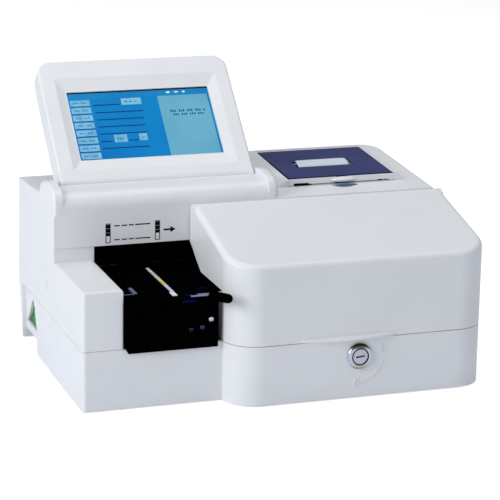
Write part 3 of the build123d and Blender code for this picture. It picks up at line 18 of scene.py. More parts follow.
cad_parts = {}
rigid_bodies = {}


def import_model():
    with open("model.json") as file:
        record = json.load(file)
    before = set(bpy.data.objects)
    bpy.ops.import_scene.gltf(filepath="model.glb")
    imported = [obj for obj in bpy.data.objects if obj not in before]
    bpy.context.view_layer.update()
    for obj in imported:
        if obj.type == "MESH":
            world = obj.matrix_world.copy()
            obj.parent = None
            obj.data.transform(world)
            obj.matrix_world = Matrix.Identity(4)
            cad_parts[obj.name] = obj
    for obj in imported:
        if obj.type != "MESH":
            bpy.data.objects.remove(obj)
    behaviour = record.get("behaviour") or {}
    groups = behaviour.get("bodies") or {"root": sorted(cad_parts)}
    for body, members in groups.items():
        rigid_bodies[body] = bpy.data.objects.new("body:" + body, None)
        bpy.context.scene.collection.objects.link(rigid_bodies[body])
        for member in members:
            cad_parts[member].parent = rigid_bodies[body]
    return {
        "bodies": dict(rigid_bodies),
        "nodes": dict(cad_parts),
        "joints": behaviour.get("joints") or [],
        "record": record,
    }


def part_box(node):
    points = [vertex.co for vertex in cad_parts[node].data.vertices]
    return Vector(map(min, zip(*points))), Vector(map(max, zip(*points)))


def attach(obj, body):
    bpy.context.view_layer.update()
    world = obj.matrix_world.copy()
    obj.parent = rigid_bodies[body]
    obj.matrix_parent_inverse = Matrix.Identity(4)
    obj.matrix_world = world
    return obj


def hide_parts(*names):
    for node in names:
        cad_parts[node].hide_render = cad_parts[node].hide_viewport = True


LOG = logging.getLogger("analyzer")
Colour = tuple[float, float, float]
Point = tuple[float, float, float]
Span = tuple[float, float]
Material = bpy.types.Material
Socket = bpy.types.NodeSocket
MM = 0.001
MID = (205.0, 128.4)          # middle of the footprint in the case's axes
FACE_Y = 108.8                # main face, above the stage
FRONT_Y = -30.2               # face that carries the lock
STAGE_Z = 108.0               # top of the strip stage
DECK_Z = 172.0                # height of the rear deck at the main face
LOCK_X = 271.0                # the lock's axis, across
LOCK_Z = 43.5                 # the lock's axis, up
DISPLAY_CORNER = (18.5, 151.3, 188.4)


class Body(Enum):
    """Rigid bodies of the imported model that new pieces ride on."""

    CASE = "case"
    LOCK = "cam_lock"
    DISPLAY = "display"
    LID = "printer_lid"


class Slot(Enum):
    """Material slots of the record that new pieces take."""

    WHITE = "case_white"
    BLACK = "stage_black"
    SCREEN = "screen_glass"
    STEEL = "steel"
    CHROME = "lock_chrome"
    PAPER = "paper_white"


def srgb(red: int, green: int, blue: int) -> Colour:
    """Turn an 8-bit screen colour into linear light.

    Args:
        red: Red, 0 to 255.
        green: Green, 0 to 255.
        blue: Blue, 0 to 255.

    Returns:
        The linear colour.
    """
    def line(value: int) -> float:
        """Turn one channel into linear light."""
        share = value / 255
        return share / 12.92 if share <= 0.04045 else ((share + 0.055) / 1.055) ** 2.4

    return line(red), line(green), line(blue)


class Place:
    """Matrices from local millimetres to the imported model's metres."""

    LEAN = math.radians(45.9)
    SLOPE = math.radians(3.8)

    @staticmethod
    def case() -> Matrix:
        """Return the matrix for points in the case's axes."""
        return Matrix.Scale(MM, 4) @ Matrix.Translation((-MID[0], -MID[1], 0.0))

    @classmethod
    def display(cls) -> Matrix:
        """Find the display's place.

        Returns:
            The matrix for points (u, v, w) on the display's face.
        """
        across = Vector((1, 0, 0))
        up = Vector((0, math.sin(cls.LEAN), math.cos(cls.LEAN)))
        out = Vector((0, -math.cos(cls.LEAN), math.sin(cls.LEAN)))
        turn = Matrix((across, up, out)).transposed().to_4x4()
        return cls.case() @ Matrix.Translation(DISPLAY_CORNER) @ turn

    @classmethod
    def deck(cls) -> Matrix:
        """Return the matrix for points (x, v, w) on the rear deck."""
        return cls.case() @ Matrix.Translation((0, FACE_Y, DECK_Z)) @ Matrix.Rotation(cls.SLOPE, 4, "X")

    @classmethod
    def upright(cls, x: float, y: float, z: float) -> Matrix:
        """Return the matrix for points (right, up, out) on an upright face that looks forward."""
        return cls.case() @ Matrix.Translation((x, y, z)) @ Matrix.Rotation(math.radians(90), 4, "X")


class Shader:
    """Small helper that builds a node material."""

    def __init__(self, name: str) -> None:
        """Start an empty material.

        Args:
            name: Name of the material.
        """
        self.material = bpy.data.materials.new(name)
        self.material.use_nodes = True
        self.tree = self.material.node_tree
        self.tree.nodes.clear()
        self.out = self.tree.nodes.new("ShaderNodeOutputMaterial")
        self.main = self.tree.nodes.new("ShaderNodeBsdfPrincipled")
        self.link(self.main.outputs[0], self.out.inputs[0])
        self.coords = self.tree.nodes.new("ShaderNodeTexCoord")

    def link(self, source: Socket, target: Socket) -> None:
        """Join two sockets."""
        self.tree.links.new(source, target)

    def fix(self, name: str, value: object) -> None:
        """Set a socket of the main shader to a constant."""
        self.main.inputs[name].default_value = value

    def colour(self, source: Socket) -> None:
        """Give the surface its colour."""
        self.link(source, self.main.inputs["Base Color"])

    def add(self, kind: str, **values: object) -> bpy.types.Node:
        """Add a node and set its sockets or properties.

        Args:
            kind: Node type without its ShaderNode prefix.
            values: Values by socket name, with _ for a space, or property name.

        Returns:
            The new node.
        """
        node = self.tree.nodes.new("ShaderNode" + kind)
        for key, value in values.items():
            socket = node.inputs.get(key.replace("_", " "))
            if socket is None:
                setattr(node, key, value)
            elif isinstance(value, Socket):
                self.link(value, socket)
            else:
                socket.default_value = value
        return node

    def noise(self, size_mm: float, detail: float = 3.0, stretch: Point = (1, 1, 1)) -> Socket:
        """Add a noise whose features are about size_mm across.

        Args:
            size_mm: Feature size.
            detail: Octaves.
            stretch: How the noise is squeezed along X, Y and Z.

        Returns:
            The factor socket.
        """
        source = self.coords.outputs["Object"]
        if stretch != (1, 1, 1):
            source = self.add("Mapping", Vector=source, Scale=stretch).outputs[0]
        return self.add("TexNoise", Vector=source, Scale=1000 / size_mm, Detail=detail).outputs[0]

    def spread(self, factor: Socket, low: Colour, high: Colour,
               start: float = 0.3, end: float = 0.7) -> Socket:
        """Add a colour that runs from low to high with factor.

        Args:
            factor: Value from 0 to 1.
            low: Colour up to start.
            high: Colour from end on.
            start: Factor at which the colour begins to change.
            end: Factor at which it has changed.

        Returns:
            The colour socket.
        """
        ramp = self.add("ValToRGB")
        for stop, place, colour in zip(ramp.color_ramp.elements, (start, end), (low, high)):
            stop.position = place
            stop.color = (*colour, 1)
        self.link(factor, ramp.inputs[0])
        return ramp.outputs[0]

    def stripes(self, axis: int, start: float, end: float, stops: tuple[tuple[float, Colour], ...],
                blend: str = "LINEAR") -> Socket:
        """Add colours that follow one another along an axis.

        Args:
            axis: 0, 1 or 2 for X, Y or Z.
            start: Where the first share begins, in metres.
            end: Where the last share ends, in metres.
            stops: Share of the way and colour of each stop.
            blend: How one colour goes over to the next.

        Returns:
            The colour socket.
        """
        split = self.add("SeparateXYZ", Vector=self.coords.outputs["Object"])
        scale = self.add("MapRange")
        scale.inputs["From Min"].default_value = start
        scale.inputs["From Max"].default_value = end
        self.link(split.outputs[axis], scale.inputs["Value"])
        ramp = self.add("ValToRGB")
        ramp.color_ramp.interpolation = blend
        for i, (place, colour) in enumerate(stops):
            stop = ramp.color_ramp.elements[i] if i < 2 else ramp.color_ramp.elements.new(0.999)
            stop.position = place
            stop.color = (*colour, 1)
        self.link(scale.outputs[0], ramp.inputs[0])
        return ramp.outputs[0]

    def rough(self, factor: Socket, low: float, high: float) -> None:
        """Let the roughness run with factor.

        Args:
            factor: Value from 0 to 1.
            low: Roughness at 0.
            high: Roughness at 1.
        """
        scale = self.add("MapRange")
        scale.inputs["To Min"].default_value = low
        scale.inputs["To Max"].default_value = high
        self.link(factor, scale.inputs["Value"])
        self.link(scale.outputs[0], self.main.inputs["Roughness"])

    def bump(self, factor: Socket, depth_mm: float, strength: float = 0.5) -> None:
        """Raise the surface by factor, depth_mm deep."""
        node = self.add("Bump", Strength=strength, Distance=depth_mm * MM, Height=factor)
        self.link(node.outputs[0], self.main.inputs["Normal"])


def tint(colour: Colour, share: float) -> Colour:
    """Return the colour lightened or darkened by share."""
    return tuple(min(1.0, max(0.0, c * (1 + share))) for c in colour)


@dataclass(frozen=True)
class Moulded:
    """Injection-moulded plastic with a fine eroded grain."""

    name: str
    colour: Colour
    rough: float = 0.38
    grain_mm: float = 0.55
    grain_deep_mm: float = 0.02
    mottle: float = 0.02
    gloss: float = 0.5

    def build(self) -> Material:
        """Build the material.

        Returns:
            The material.
        """
        shader = Shader(self.name)
        cloud = shader.noise(60.0, 2.0)
        colour = shader.spread(cloud, tint(self.colour, -self.mottle), tint(self.colour, self.mottle))
        shader.colour(colour)
        grain = shader.noise(self.grain_mm, 4.0)
        shader.rough(grain, self.rough - 0.05, self.rough + 0.07)
        shader.bump(grain, self.grain_deep_mm, 0.35)
        shader.fix("Specular IOR Level", self.gloss)
        return shader.material


@dataclass(frozen=True)
class Metal:
    """Metal with drawn or ground lines along one axis."""

    name: str
    colour: Colour
    rough: float = 0.3
    stretch: Colour = (0.05, 1.0, 1.0)
    line_mm: float = 0.25

    def build(self) -> Material:
        """Build the material.

        Returns:
            The material.
        """
        shader = Shader(self.name)
        lines = shader.noise(self.line_mm, 3.0, self.stretch)
        colour = shader.spread(lines, tint(self.colour, -0.12), tint(self.colour, 0.06))
        shader.colour(colour)
        shader.fix("Metallic", 1.0)
        shader.rough(lines, max(0.03, self.rough - 0.06), self.rough + 0.1)
        shader.bump(lines, 0.004, 0.25)
        return shader.material


@dataclass(frozen=True)
class Banded:
    """Metal whose tone changes with height, in bands that paint its glints and reflections."""

    name: str
    z_mm: Span
    bands: tuple[tuple[float, Colour], ...]

    def build(self) -> Material:
        """Build the material.

        Returns:
            The material.
        """
        shader = Shader(self.name)
        tones = shader.stripes(2, self.z_mm[0] * MM, self.z_mm[1] * MM, self.bands)
        shader.colour(tones)
        shader.fix("Metallic", 1.0)
        scuff = shader.noise(0.6, 3.0)
        shader.rough(scuff, 0.06, 0.2)
        shader.bump(scuff, 0.004, 0.25)
        return shader.material


@dataclass(frozen=True)
class Clear:
    """Clear glass or acrylic with a faint smear."""

    name: str
    colour: Colour = (0.95, 0.97, 0.98)

    def build(self) -> Material:
        """Build the material.

        Returns:
            The material.
        """
        shader = Shader(self.name)
        smear = shader.noise(18.0, 3.0)
        shader.colour(shader.spread(smear, tint(self.colour, -0.03), self.colour))
        shader.fix("Transmission Weight", 0.92)
        shader.fix("IOR", 1.49)
        shader.rough(smear, 0.03, 0.09)
        return shader.material


@dataclass(frozen=True)
class Board:
    """Circuit board: solder mask over copper tracks."""

    name: str
    mask: Colour
    track_mm: float = 2.2

    def build(self) -> Material:
        """Build the material.

        Returns:
            The material.
        """
        shader = Shader(self.name)
        source = shader.coords.outputs["Object"]
        bricks = shader.add("TexBrick", Vector=source, Scale=1000 / (self.track_mm * 4))
        bricks.inputs["Mortar Size"].default_value = 0.03
        bricks.inputs["Color1"].default_value = (*self.mask, 1)
        bricks.inputs["Color2"].default_value = (*tint(self.mask, -0.25), 1)
        bricks.inputs["Mortar"].default_value = (*tint(self.mask, 0.7), 1)
        shader.colour(bricks.outputs[0])
        shader.rough(shader.noise(3.0), 0.25, 0.4)
        shader.bump(bricks.outputs["Fac"], 0.03, 0.4)
        return shader.material


@dataclass(frozen=True)
class Sheet:
    """Paper or card: matt, with short fibres."""

    name: str
    colour: Colour

    def build(self) -> Material:
        """Build the material.

        Returns:
            The material.
        """
        shader = Shader(self.name)
        fibres = shader.noise(0.8, 5.0, (1.0, 0.35, 1.0))
        shader.colour(shader.spread(fibres, tint(self.colour, -0.05), self.colour))
        shader.fix("Roughness", 0.85)
        shader.bump(fibres, 0.01, 0.3)
        return shader.material


@dataclass(frozen=True)
class Pads:
    """Reagent pads whose colour changes along the strip."""

    name: str
    start_mm: float
    pitch_mm: float
    colours: tuple[Colour, ...]

    def build(self) -> Material:
        """Build the material.

        Returns:
            The material.
        """
        shader = Shader(self.name)
        count = len(self.colours)
        start = (self.start_mm - MID[1]) * MM
        end = (self.start_mm + self.pitch_mm * count - MID[1]) * MM
        stops = tuple((i / count, colour) for i, colour in enumerate(self.colours))
        fibres = shader.noise(0.5, 4.0)
        mix = shader.add("Mix", data_type="RGBA", blend_type="MULTIPLY")
        mix.inputs["Factor"].default_value = 0.3
        shader.link(shader.stripes(1, start, end, stops, "CONSTANT"), mix.inputs[6])
        shader.link(shader.spread(fibres, (0.6, 0.6, 0.6), (1, 1, 1)), mix.inputs[7])
        shader.colour(mix.outputs[2])
        shader.fix("Roughness", 0.9)
        shader.bump(fibres, 0.05, 0.4)
        return shader.material


@dataclass(frozen=True)
class Lit:
    """A lit area of the screen, with its fine dot pitch and a soft painted sheen that lightens it in broad
    patches.
    """

    name: str
    low: Colour
    high: Colour
    sheen_mm: float = 70.0

    def build(self) -> Material:
        """Build the material.

        Returns:
            The material.
        """
        shader = Shader(self.name)
        # Painted sheen: broad light patches drift between the low and high colour.
        sheen = shader.noise(self.sheen_mm, 1.0)
        colour = shader.spread(sheen, self.low, self.high, 0.35, 0.65)
        shader.fix("Base Color", (0.01, 0.01, 0.012, 1))
        shader.link(colour, shader.main.inputs["Emission Color"])
        shader.fix("Emission Strength", 1.0)
        shader.fix("Roughness", 0.22)
        shader.fix("Specular IOR Level", 0.0)
        shader.bump(shader.noise(0.2, 2.0), 0.003, 0.1)
        return shader.material


class Finishes:
    """All finishes of the analyzer, built once."""

    def __init__(self) -> None:
        """Build the materials."""
        self.white = Moulded("White Moulded Plastic", srgb(233, 235, 238), 0.34).build()
        self.black = Moulded(
            "Black Stage", (0.0006, 0.0006, 0.0009), 0.45, 0.3, 0.003, 0.3, 0.0
        ).build()
        # The height bands paint glints: the top screw bright, the lower ones dim and dark blue.
        self.screw = Banded("Black Screws With Painted Glints", (74.0, 89.0), (
            (0.0, (0.004, 0.005, 0.012)), (0.15, (0.006, 0.007, 0.02)), (0.25, (0.05, 0.07, 0.16)),
            (0.45, (0.02, 0.03, 0.08)), (0.62, (0.2, 0.2, 0.26)), (0.78, (0.75, 0.76, 0.84)),
        )).build()
        # Painted glint: blue-grey for the highlights on the strip stop and along the stage's front edge.
        self.glint = Moulded("Painted Blue Glint", (0.13, 0.16, 0.34), 0.25, 0.4, 0.004, 0.1).build()
        # Painted shade and reflection: deep blue for the key slot, the lid's groove and the dark
        # reflections at the stage's front edge.
        self.deep = Moulded("Painted Deep Blue Shade And Reflection", (0.003, 0.005, 0.06), 0.4, 0.4, 0.003, 0.2, 0.0).build()
        # Painted shade: slate blue for the shadow in the finger scoop before the lid.
        self.shade = Moulded("Painted Slate Blue Scoop Shade", srgb(70, 100, 130), 0.4, 0.3, 0.004, 0.1, 0.1).build()
        self.dark = Moulded("Dark Grey Plastic", (0.03, 0.032, 0.036), 0.45).build()
        self.grey = Moulded("Grey Liner Plastic", (0.42, 0.44, 0.46), 0.42).build()
        self.bin = Moulded("Grey Waste Bin Plastic", (0.16, 0.175, 0.2), 0.4).build()
        self.navy = Moulded("Navy Printer Panel", srgb(40, 50, 108), 0.3, 0.3, 0.004, 0.2, 0.08).build()
        # Dark print and joints, and also painted shade in the gap at the lid's front and inside the side
        # slots.
        self.print = Moulded("Dark Print And Painted Gap Shade", (0.002, 0.003, 0.006), 0.5, 0.3, 0.004, 0.1, 0.05).build()
        self.steel = Metal("Ground Steel", (0.62, 0.63, 0.65), 0.28).build()
        self.sheet = Metal("Galvanised Sheet Steel", (0.5, 0.51, 0.53), 0.42, (0.4, 1.0, 1.0), 3.0).build()
        # The height bands paint reflections on the lock's bezel: tan low down, dark brown at the top.
        self.chrome = Banded("Chrome With Painted Reflections", (31.0, 56.0), (
            (0.0, (0.42, 0.33, 0.2)), (0.1, (0.55, 0.48, 0.38)), (0.2, (0.62, 0.65, 0.72)),
            (0.78, (0.66, 0.7, 0.78)), (0.88, (0.2, 0.16, 0.11)), (0.97, (0.03, 0.025, 0.02)),
        )).build()
        self.plug = Metal("Brushed Lock Plug", (0.62, 0.62, 0.66), 0.25, (0.05, 1.0, 1.0), 0.15).build()
        self.rubber = Moulded("Black Rubber", (0.018, 0.018, 0.019), 0.7, 1.2, 0.05, 0.2, 0.3).build()
        self.clear = Clear("Clear Head Window").build()
        self.board = Board("Green Circuit Board", (0.0, 0.2, 0.02)).build()
        self.paper = Sheet("Thermal Paper", (0.68, 0.72, 0.8)).build()
        self.strip = Sheet("Strip Backing", (0.75, 0.78, 0.84)).build()
        self.tile = Sheet("Reference Tile", (0.85, 0.85, 0.84)).build()
        self.pads = Pads(
            "Reagent Pads", 21.0, 8.0,
            ((0.62, 0.66, 0.78), (0.6, 0.62, 0.72), (0.66, 0.68, 0.72), (0.72, 0.52, 0.08),
             (0.78, 0.6, 0.06), (0.6, 0.55, 0.35), (0.62, 0.6, 0.55), (0.5, 0.52, 0.56),
             (0.55, 0.52, 0.55)),
        ).build()
        self.lit_blue = Lit("Screen Blue", srgb(0, 112, 188), srgb(0, 132, 200)).build()
        self.lit_head = Lit("Screen Header", srgb(14, 118, 184), srgb(20, 134, 196)).build()
        self.lit_panel = Lit("Screen Pale Panel", srgb(88, 162, 196), srgb(106, 174, 202)).build()
        self.lit_button = Lit("Screen Button", srgb(104, 172, 208), srgb(132, 192, 218), 9.0).build()
        self.lit_dark = Lit("Screen Dark Line", srgb(0, 52, 120), srgb(0, 62, 138)).build()
        self.lit_white = Lit("Screen White", srgb(225, 235, 240), srgb(240, 245, 248)).build()
        # Dark unlit glass, also used for the painted shadow of the bezel along the screen's top.
        self.dark_glass_and_bezel_shadow = Lit("Screen Unlit Glass And Painted Bezel Shadow", srgb(8, 14, 28), srgb(12, 20, 36)).build()


class Sketch:
    """A mesh under construction, in local millimetres."""

    SMOOTH_TURN = math.radians(35)
    SPIN_STEP = 6
    FEWEST_STEPS = 6

    def __init__(self, place: Matrix) -> None:
        """Start an empty mesh.

        Args:
            place: Matrix from the sketch's millimetres to the model's metres.
        """
        self.place = place
        self.mesh = bmesh.new()
        self.materials: list[Material] = []

    def _paint(self, verts: list[bmesh.types.BMVert], material: Material | None) -> None:
        """Give the faces of the new vertices a material.

        Args:
            verts: The new vertices.
        """
        if material is None:
            return
        if material not in self.materials:
            self.materials.append(material)
        index = self.materials.index(material)
        for face in {f for v in verts for f in v.link_faces}:
            face.material_index = index

    def box(self, low: Point, high: Point, material: Material | None = None,
            soft: float = 0.0) -> None:
        """Add a box, with rounded edges if soft is given.

        Args:
            low: Lowest corner.
            high: Highest corner.
            material: Material of its faces.
            soft: Radius of all edges.
        """
        middle = Vector(low).lerp(Vector(high), 0.5)
        size = Vector(high) - Vector(low)
        matrix = Matrix.Translation(middle) @ Matrix.Diagonal((*size, 1))
        verts = bmesh.ops.create_cube(self.mesh, size=1.0, matrix=matrix)["verts"]
        self._paint(verts, material)
        if soft:
            edges = list({e for v in verts for e in v.link_edges})
            bmesh.ops.bevel(
                self.mesh, geom=edges, offset=soft, offset_type="OFFSET", affect="EDGES",
                segments=2, profile=0.5, material=-1,
            )

    def dome(self, at: Point, size: Point, material: Material) -> None:
        """Add a low round dome.

        Args:
            at: Middle of the dome.
            size: Half its size along each axis.
            material: Material of its faces.
        """
        matrix = Matrix.Translation(at) @ Matrix.Diagonal((*size, 1))
        verts = bmesh.ops.create_uvsphere(
            self.mesh, u_segments=40, v_segments=20, radius=1.0, matrix=matrix
        )["verts"]
        self._paint(verts, material)

    def arrow_head(self, matrix: Matrix, radius: float, tip: float, depth: float,
                   material: Material | None = None) -> None:
        """Add a flat three-sided arrow head.

        Args:
            matrix: Its place and turn.
            radius: Radius of its underside.
            tip: Radius of its top.
            depth: How thick it is.
            material: Material of its faces.
        """
        verts = bmesh.ops.create_cone(
            self.mesh, cap_ends=True, segments=3, radius1=radius, radius2=tip, depth=depth, matrix=matrix,
        )["verts"]
        self._paint(verts, material)

    def arc_bar(self, centre: Point, radius: float, width: float, height: float,
                start: float, sweep: float, material: Material | None = None) -> None:
        """Add a bar bent round a centre, in the XY plane, rising along Z.

        Args:
            centre: Centre of the bend.
            radius: Middle radius.
            width: Width of the bar.
            height: How far the bar rises.
            start: First angle in degrees.
            sweep: Turn in degrees.
            material: Material of its faces.
        """
        before = set(self.mesh.verts)
        ring = []
        for r, z in ((-width / 2, 0), (width / 2, 0), (width / 2, height), (-width / 2, height)):
            angle = math.radians(start)
            point = Vector((math.cos(angle), math.sin(angle), 0)) * (radius + r)
            ring.append(self.mesh.verts.new(Vector(centre) + point + Vector((0, 0, z))))
        face = self.mesh.faces.new(ring)
        bmesh.ops.spin(
            self.mesh, geom=[face], cent=centre, axis=(0, 0, 1), angle=math.radians(sweep),
            steps=max(self.FEWEST_STEPS, int(abs(sweep) / self.SPIN_STEP)), use_duplicate=False,
        )
        self._paint([v for v in self.mesh.verts if v not in before], material)

    def finish(self, name: str, body: Body, material: Material | None = None,
               replaces: tuple[str, ...] = (), smooth: bool = False) -> bpy.types.Object:
        """Turn the sketch into a piece that rides on a body.

        Args:
            name: Name of the piece.
            body: Body that it rides on.
            material: Material for a sketch that has none.
            replaces: CAD nodes that it stands for.
            smooth: Shade the faces smooth, with sharp edges kept.

        Returns:
            The finished object.
        """
        if material is not None and not self.materials:
            self.materials.append(material)
        bmesh.ops.recalc_face_normals(self.mesh, faces=self.mesh.faces)
        bmesh.ops.transform(self.mesh, matrix=self.place, verts=self.mesh.verts)
        data = bpy.data.meshes.new(name)
        self.mesh.to_mesh(data)
        self.mesh.free()
        for entry in self.materials:
            data.materials.append(entry)
        if smooth:
            data.shade_smooth()
            data.set_sharp_from_angle(angle=self.SMOOTH_TURN)
        piece = bpy.data.objects.new(name, data)
        bpy.context.scene.collection.objects.link(piece)
        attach(piece, body.value)
        if replaces:
            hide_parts(*replaces)
        LOG.info("%s: %d faces on %s", name, len(data.polygons), body.value)
        return piece


@dataclass
class Screen:
    """Picture shown by the display, drawn in shares of the screen's area.

    Lines are (t, (left, right)), entries are ((left, right), (top, bottom)) and status
    marks are (left, width).
    """

    fin: Finishes
    u: Span = (26.0, 178.5)
    v: Span = (29.5, 113.8)
    front: float = -3.96
    back: float = 0.1
    step: float = 0.03
    header: Span = (0.0, 0.105)
    # Painted shadow of the bezel along the top of the screen.
    bezel_shadow: Span = (0.0, 0.02)
    panel: Span = (0.63, 0.985)
    menu_top: float = 0.115
    menu_high: float = 0.885
    button_wide: Span = (0.012, 0.15)
    buttons: int = 8
    word_wide: float = 0.62
    word_dip: float = 0.0036
    line_half: float = 0.008
    lines: tuple[tuple[float, Span], ...] = (
        (0.2, (0.17, 0.355)), (0.31, (0.175, 0.51)), (0.415, (0.175, 0.505)), (0.52, (0.175, 0.5)),
        (0.625, (0.175, 0.5)), (0.735, (0.17, 0.25)), (0.735, (0.36, 0.43)), (0.835, (0.17, 0.5)),
    )
    entries: tuple[tuple[Span, Span], ...] = (
        ((0.37, 0.51), (0.115, 0.21)), ((0.265, 0.355), (0.645, 0.755)), ((0.44, 0.495), (0.645, 0.745)),
    )
    status: tuple[Span, ...] = ((0.70, 0.025), (0.765, 0.012), (0.815, 0.018))

    def _area(self, sketch: Sketch, s: Span, t: Span, layer: int, material: Material) -> None:
        """Add a flat area.

        Args:
            sketch: Picture under construction.
            s: Left and right side, from 0 to 1.
            t: Top and bottom, from 0 down to 1.
            layer: Steps by which it stands over the ground.
            material: Its colour.
        """
        width, height = self.u[1] - self.u[0], self.v[1] - self.v[0]
        low = (self.u[0] + s[0] * width, self.v[1] - t[1] * height, self.front - self.back)
        high = (self.u[0] + s[1] * width, self.v[1] - t[0] * height, self.front + layer * self.step)
        sketch.box(low, high, material)

    def _words(self, sketch: Sketch, s: Span, t: Span, count: int, layer: int,
               material: Material) -> None:
        """Add a row of small bars that stand for unreadable words.

        Args:
            sketch: Picture under construction.
            s: Left and right end, from 0 to 1.
            t: Top and bottom, from 0 down to 1.
            count: Places in the row, of which each fourth stays empty.
            layer: Steps by which the bars stand over the ground.
            material: Their colour.
        """
        pitch = (s[1] - s[0]) / count
        for i in range(count):
            if i % 4 == 3:
                continue
            dip = self.word_dip * ((i * 7) % 3)
            left = s[0] + i * pitch
            self._area(sketch, (left, left + pitch * self.word_wide), (t[0] + dip, t[1]), layer, material)

    def _ground(self, sketch: Sketch) -> None:
        """Add the ground, the header, the painted shadow of the bezel along the top and the pale panel at
        the right.

        Args:
            sketch: Picture under construction.
        """
        fin = self.fin
        whole = (0.0, 1.0)
        self._area(sketch, whole, whole, 0, fin.lit_blue)
        self._area(sketch, whole, self.header, 1, fin.lit_head)
        self._area(sketch, whole, self.bezel_shadow, 2, fin.dark_glass_and_bezel_shadow)
        self._area(sketch, self.panel, (self.header[1], 1.0), 1, fin.lit_panel)

    def _menu(self, sketch: Sketch) -> None:
        """Add the column of buttons at the left.

        Args:
            sketch: Picture under construction.
        """
        fin = self.fin
        pitch = self.menu_high / self.buttons
        for i in range(self.buttons):
            top = self.menu_top + i * pitch
            self._area(sketch, self.button_wide, (top, top + pitch * 0.78), 1, fin.lit_button)
            self._words(sketch, (0.035, 0.13), (top + 0.03, top + 0.055), 7, 2, fin.lit_head)
            self._area(sketch, self.button_wide, (top + pitch * 0.8, top + pitch * 0.86), 1, fin.lit_dark)

    def _form(self, sketch: Sketch) -> None:
        """Add the lines and entries of the form in the middle.

        Args:
            sketch: Picture under construction.
        """
        fin = self.fin
        for t, s in self.lines:
            self._area(sketch, s, (t - self.line_half, t + self.line_half), 1, fin.lit_dark)
        for s, t in self.entries:
            self._area(sketch, s, t, 2, fin.lit_button)
            self._words(sketch, (s[0] + 0.02, s[1] - 0.02), (t[0] + 0.04, t[1] - 0.035), 3, 3, fin.lit_head)

    def build(self) -> None:
        """Build the picture."""
        fin = self.fin
        sketch = Sketch(Place.display())
        self._ground(sketch)
        self._menu(sketch)
        self._form(sketch)
        self._words(sketch, (0.175, 0.27), (0.155, 0.18), 9, 1, fin.lit_head)
        self._words(sketch, (0.70, 0.95), (0.32, 0.355), 17, 2, fin.lit_dark)
        self._words(sketch, (0.715, 0.95), (0.375, 0.405), 16, 2, fin.lit_dark)
        for s, wide in self.status:
            self._area(sketch, (s, s + wide), (0.045, 0.068), 3, fin.lit_white)
        self._area(sketch, (0.755, 0.79), (0.052, 0.06), 3, fin.lit_white)
        sketch.finish("screen_picture", Body.DISPLAY)


@dataclass
class FaceMarks:
    """Printed guide above the stage: two strips, dashed lines and an arrow."""

    fin: Finishes
    proud: float = 0.06
    sunk: float = 0.2
    strips: Span = (52.4, 103.5)
    strip_wide: float = 5.2
    z: Span = (136.9, 157.0)
    bars: int = 3
    bar_pitch: float = 4.3
    bar_rim: float = 0.6
    bar_high: float = 0.35
    top_gap: float = 0.7
    window: Span = (0.8, 7.2)
    window_rim: float = 0.9
    dashes: tuple[Span, ...] = ((61.3, 66.8), (69.2, 74.6), (76.4, 81.4), (83.0, 98.6))
    dash_rows: tuple[Span, ...] = ((154.2, 0.65), (139.9, 0.6))
    shaft: tuple[Span, Span] = ((112.4, 120.5), (146.0, 147.8))
    head_at: Span = (121.4, 146.9)
    head_r: float = 3.6

    def _mark(self, sketch: Sketch, x: Span, z: Span, material: Material, layer: int = 1) -> None:
        """Add one flat mark on the face, layer steps proud of it."""
        sketch.box((x[0], FACE_Y - self.proud * layer, z[0]), (x[1], FACE_Y + self.sunk, z[1]), material)

    def _strip(self, sketch: Sketch, left: float) -> None:
        """Add one printed strip.

        Args:
            sketch: Marks under construction.
            left: Left side of the strip.
        """
        fin = self.fin
        right = left + self.strip_wide
        self._mark(sketch, (left, right), self.z, fin.print)
        for i in range(self.bars):
            top = self.z[1] - self.top_gap - i * self.bar_pitch
            wide = (left + self.bar_rim, right - self.bar_rim)
            self._mark(sketch, wide, (top - self.bar_high, top), fin.grey, 2)
        inside = (left + self.window_rim, right - self.window_rim)
        low, high = (self.z[0] + rise for rise in self.window)
        self._mark(sketch, inside, (low, high), fin.white, 2)

    def build(self) -> None:
        """Build the marks."""
        ink_and_gap_shade = self.fin.print
        sketch = Sketch(Place.case())
        for left in self.strips:
            self._strip(sketch, left)
        for z, half in self.dash_rows:
            for dash in self.dashes:
                self._mark(sketch, dash, (z - half, z + half), ink_and_gap_shade)
        self._mark(sketch, *self.shaft, ink_and_gap_shade)
        middle = FACE_Y + (self.sunk - self.proud) / 2
        place = Matrix.Translation((self.head_at[0], middle, self.head_at[1]))
        lie = Matrix.Rotation(math.radians(90), 4, "X")
        aim = Matrix.Rotation(math.radians(-90), 4, "Z")
        sketch.arrow_head(place @ lie @ aim, self.head_r, self.head_r, self.sunk + self.proud, ink_and_gap_shade)
        sketch.finish("face_marks", Body.CASE)


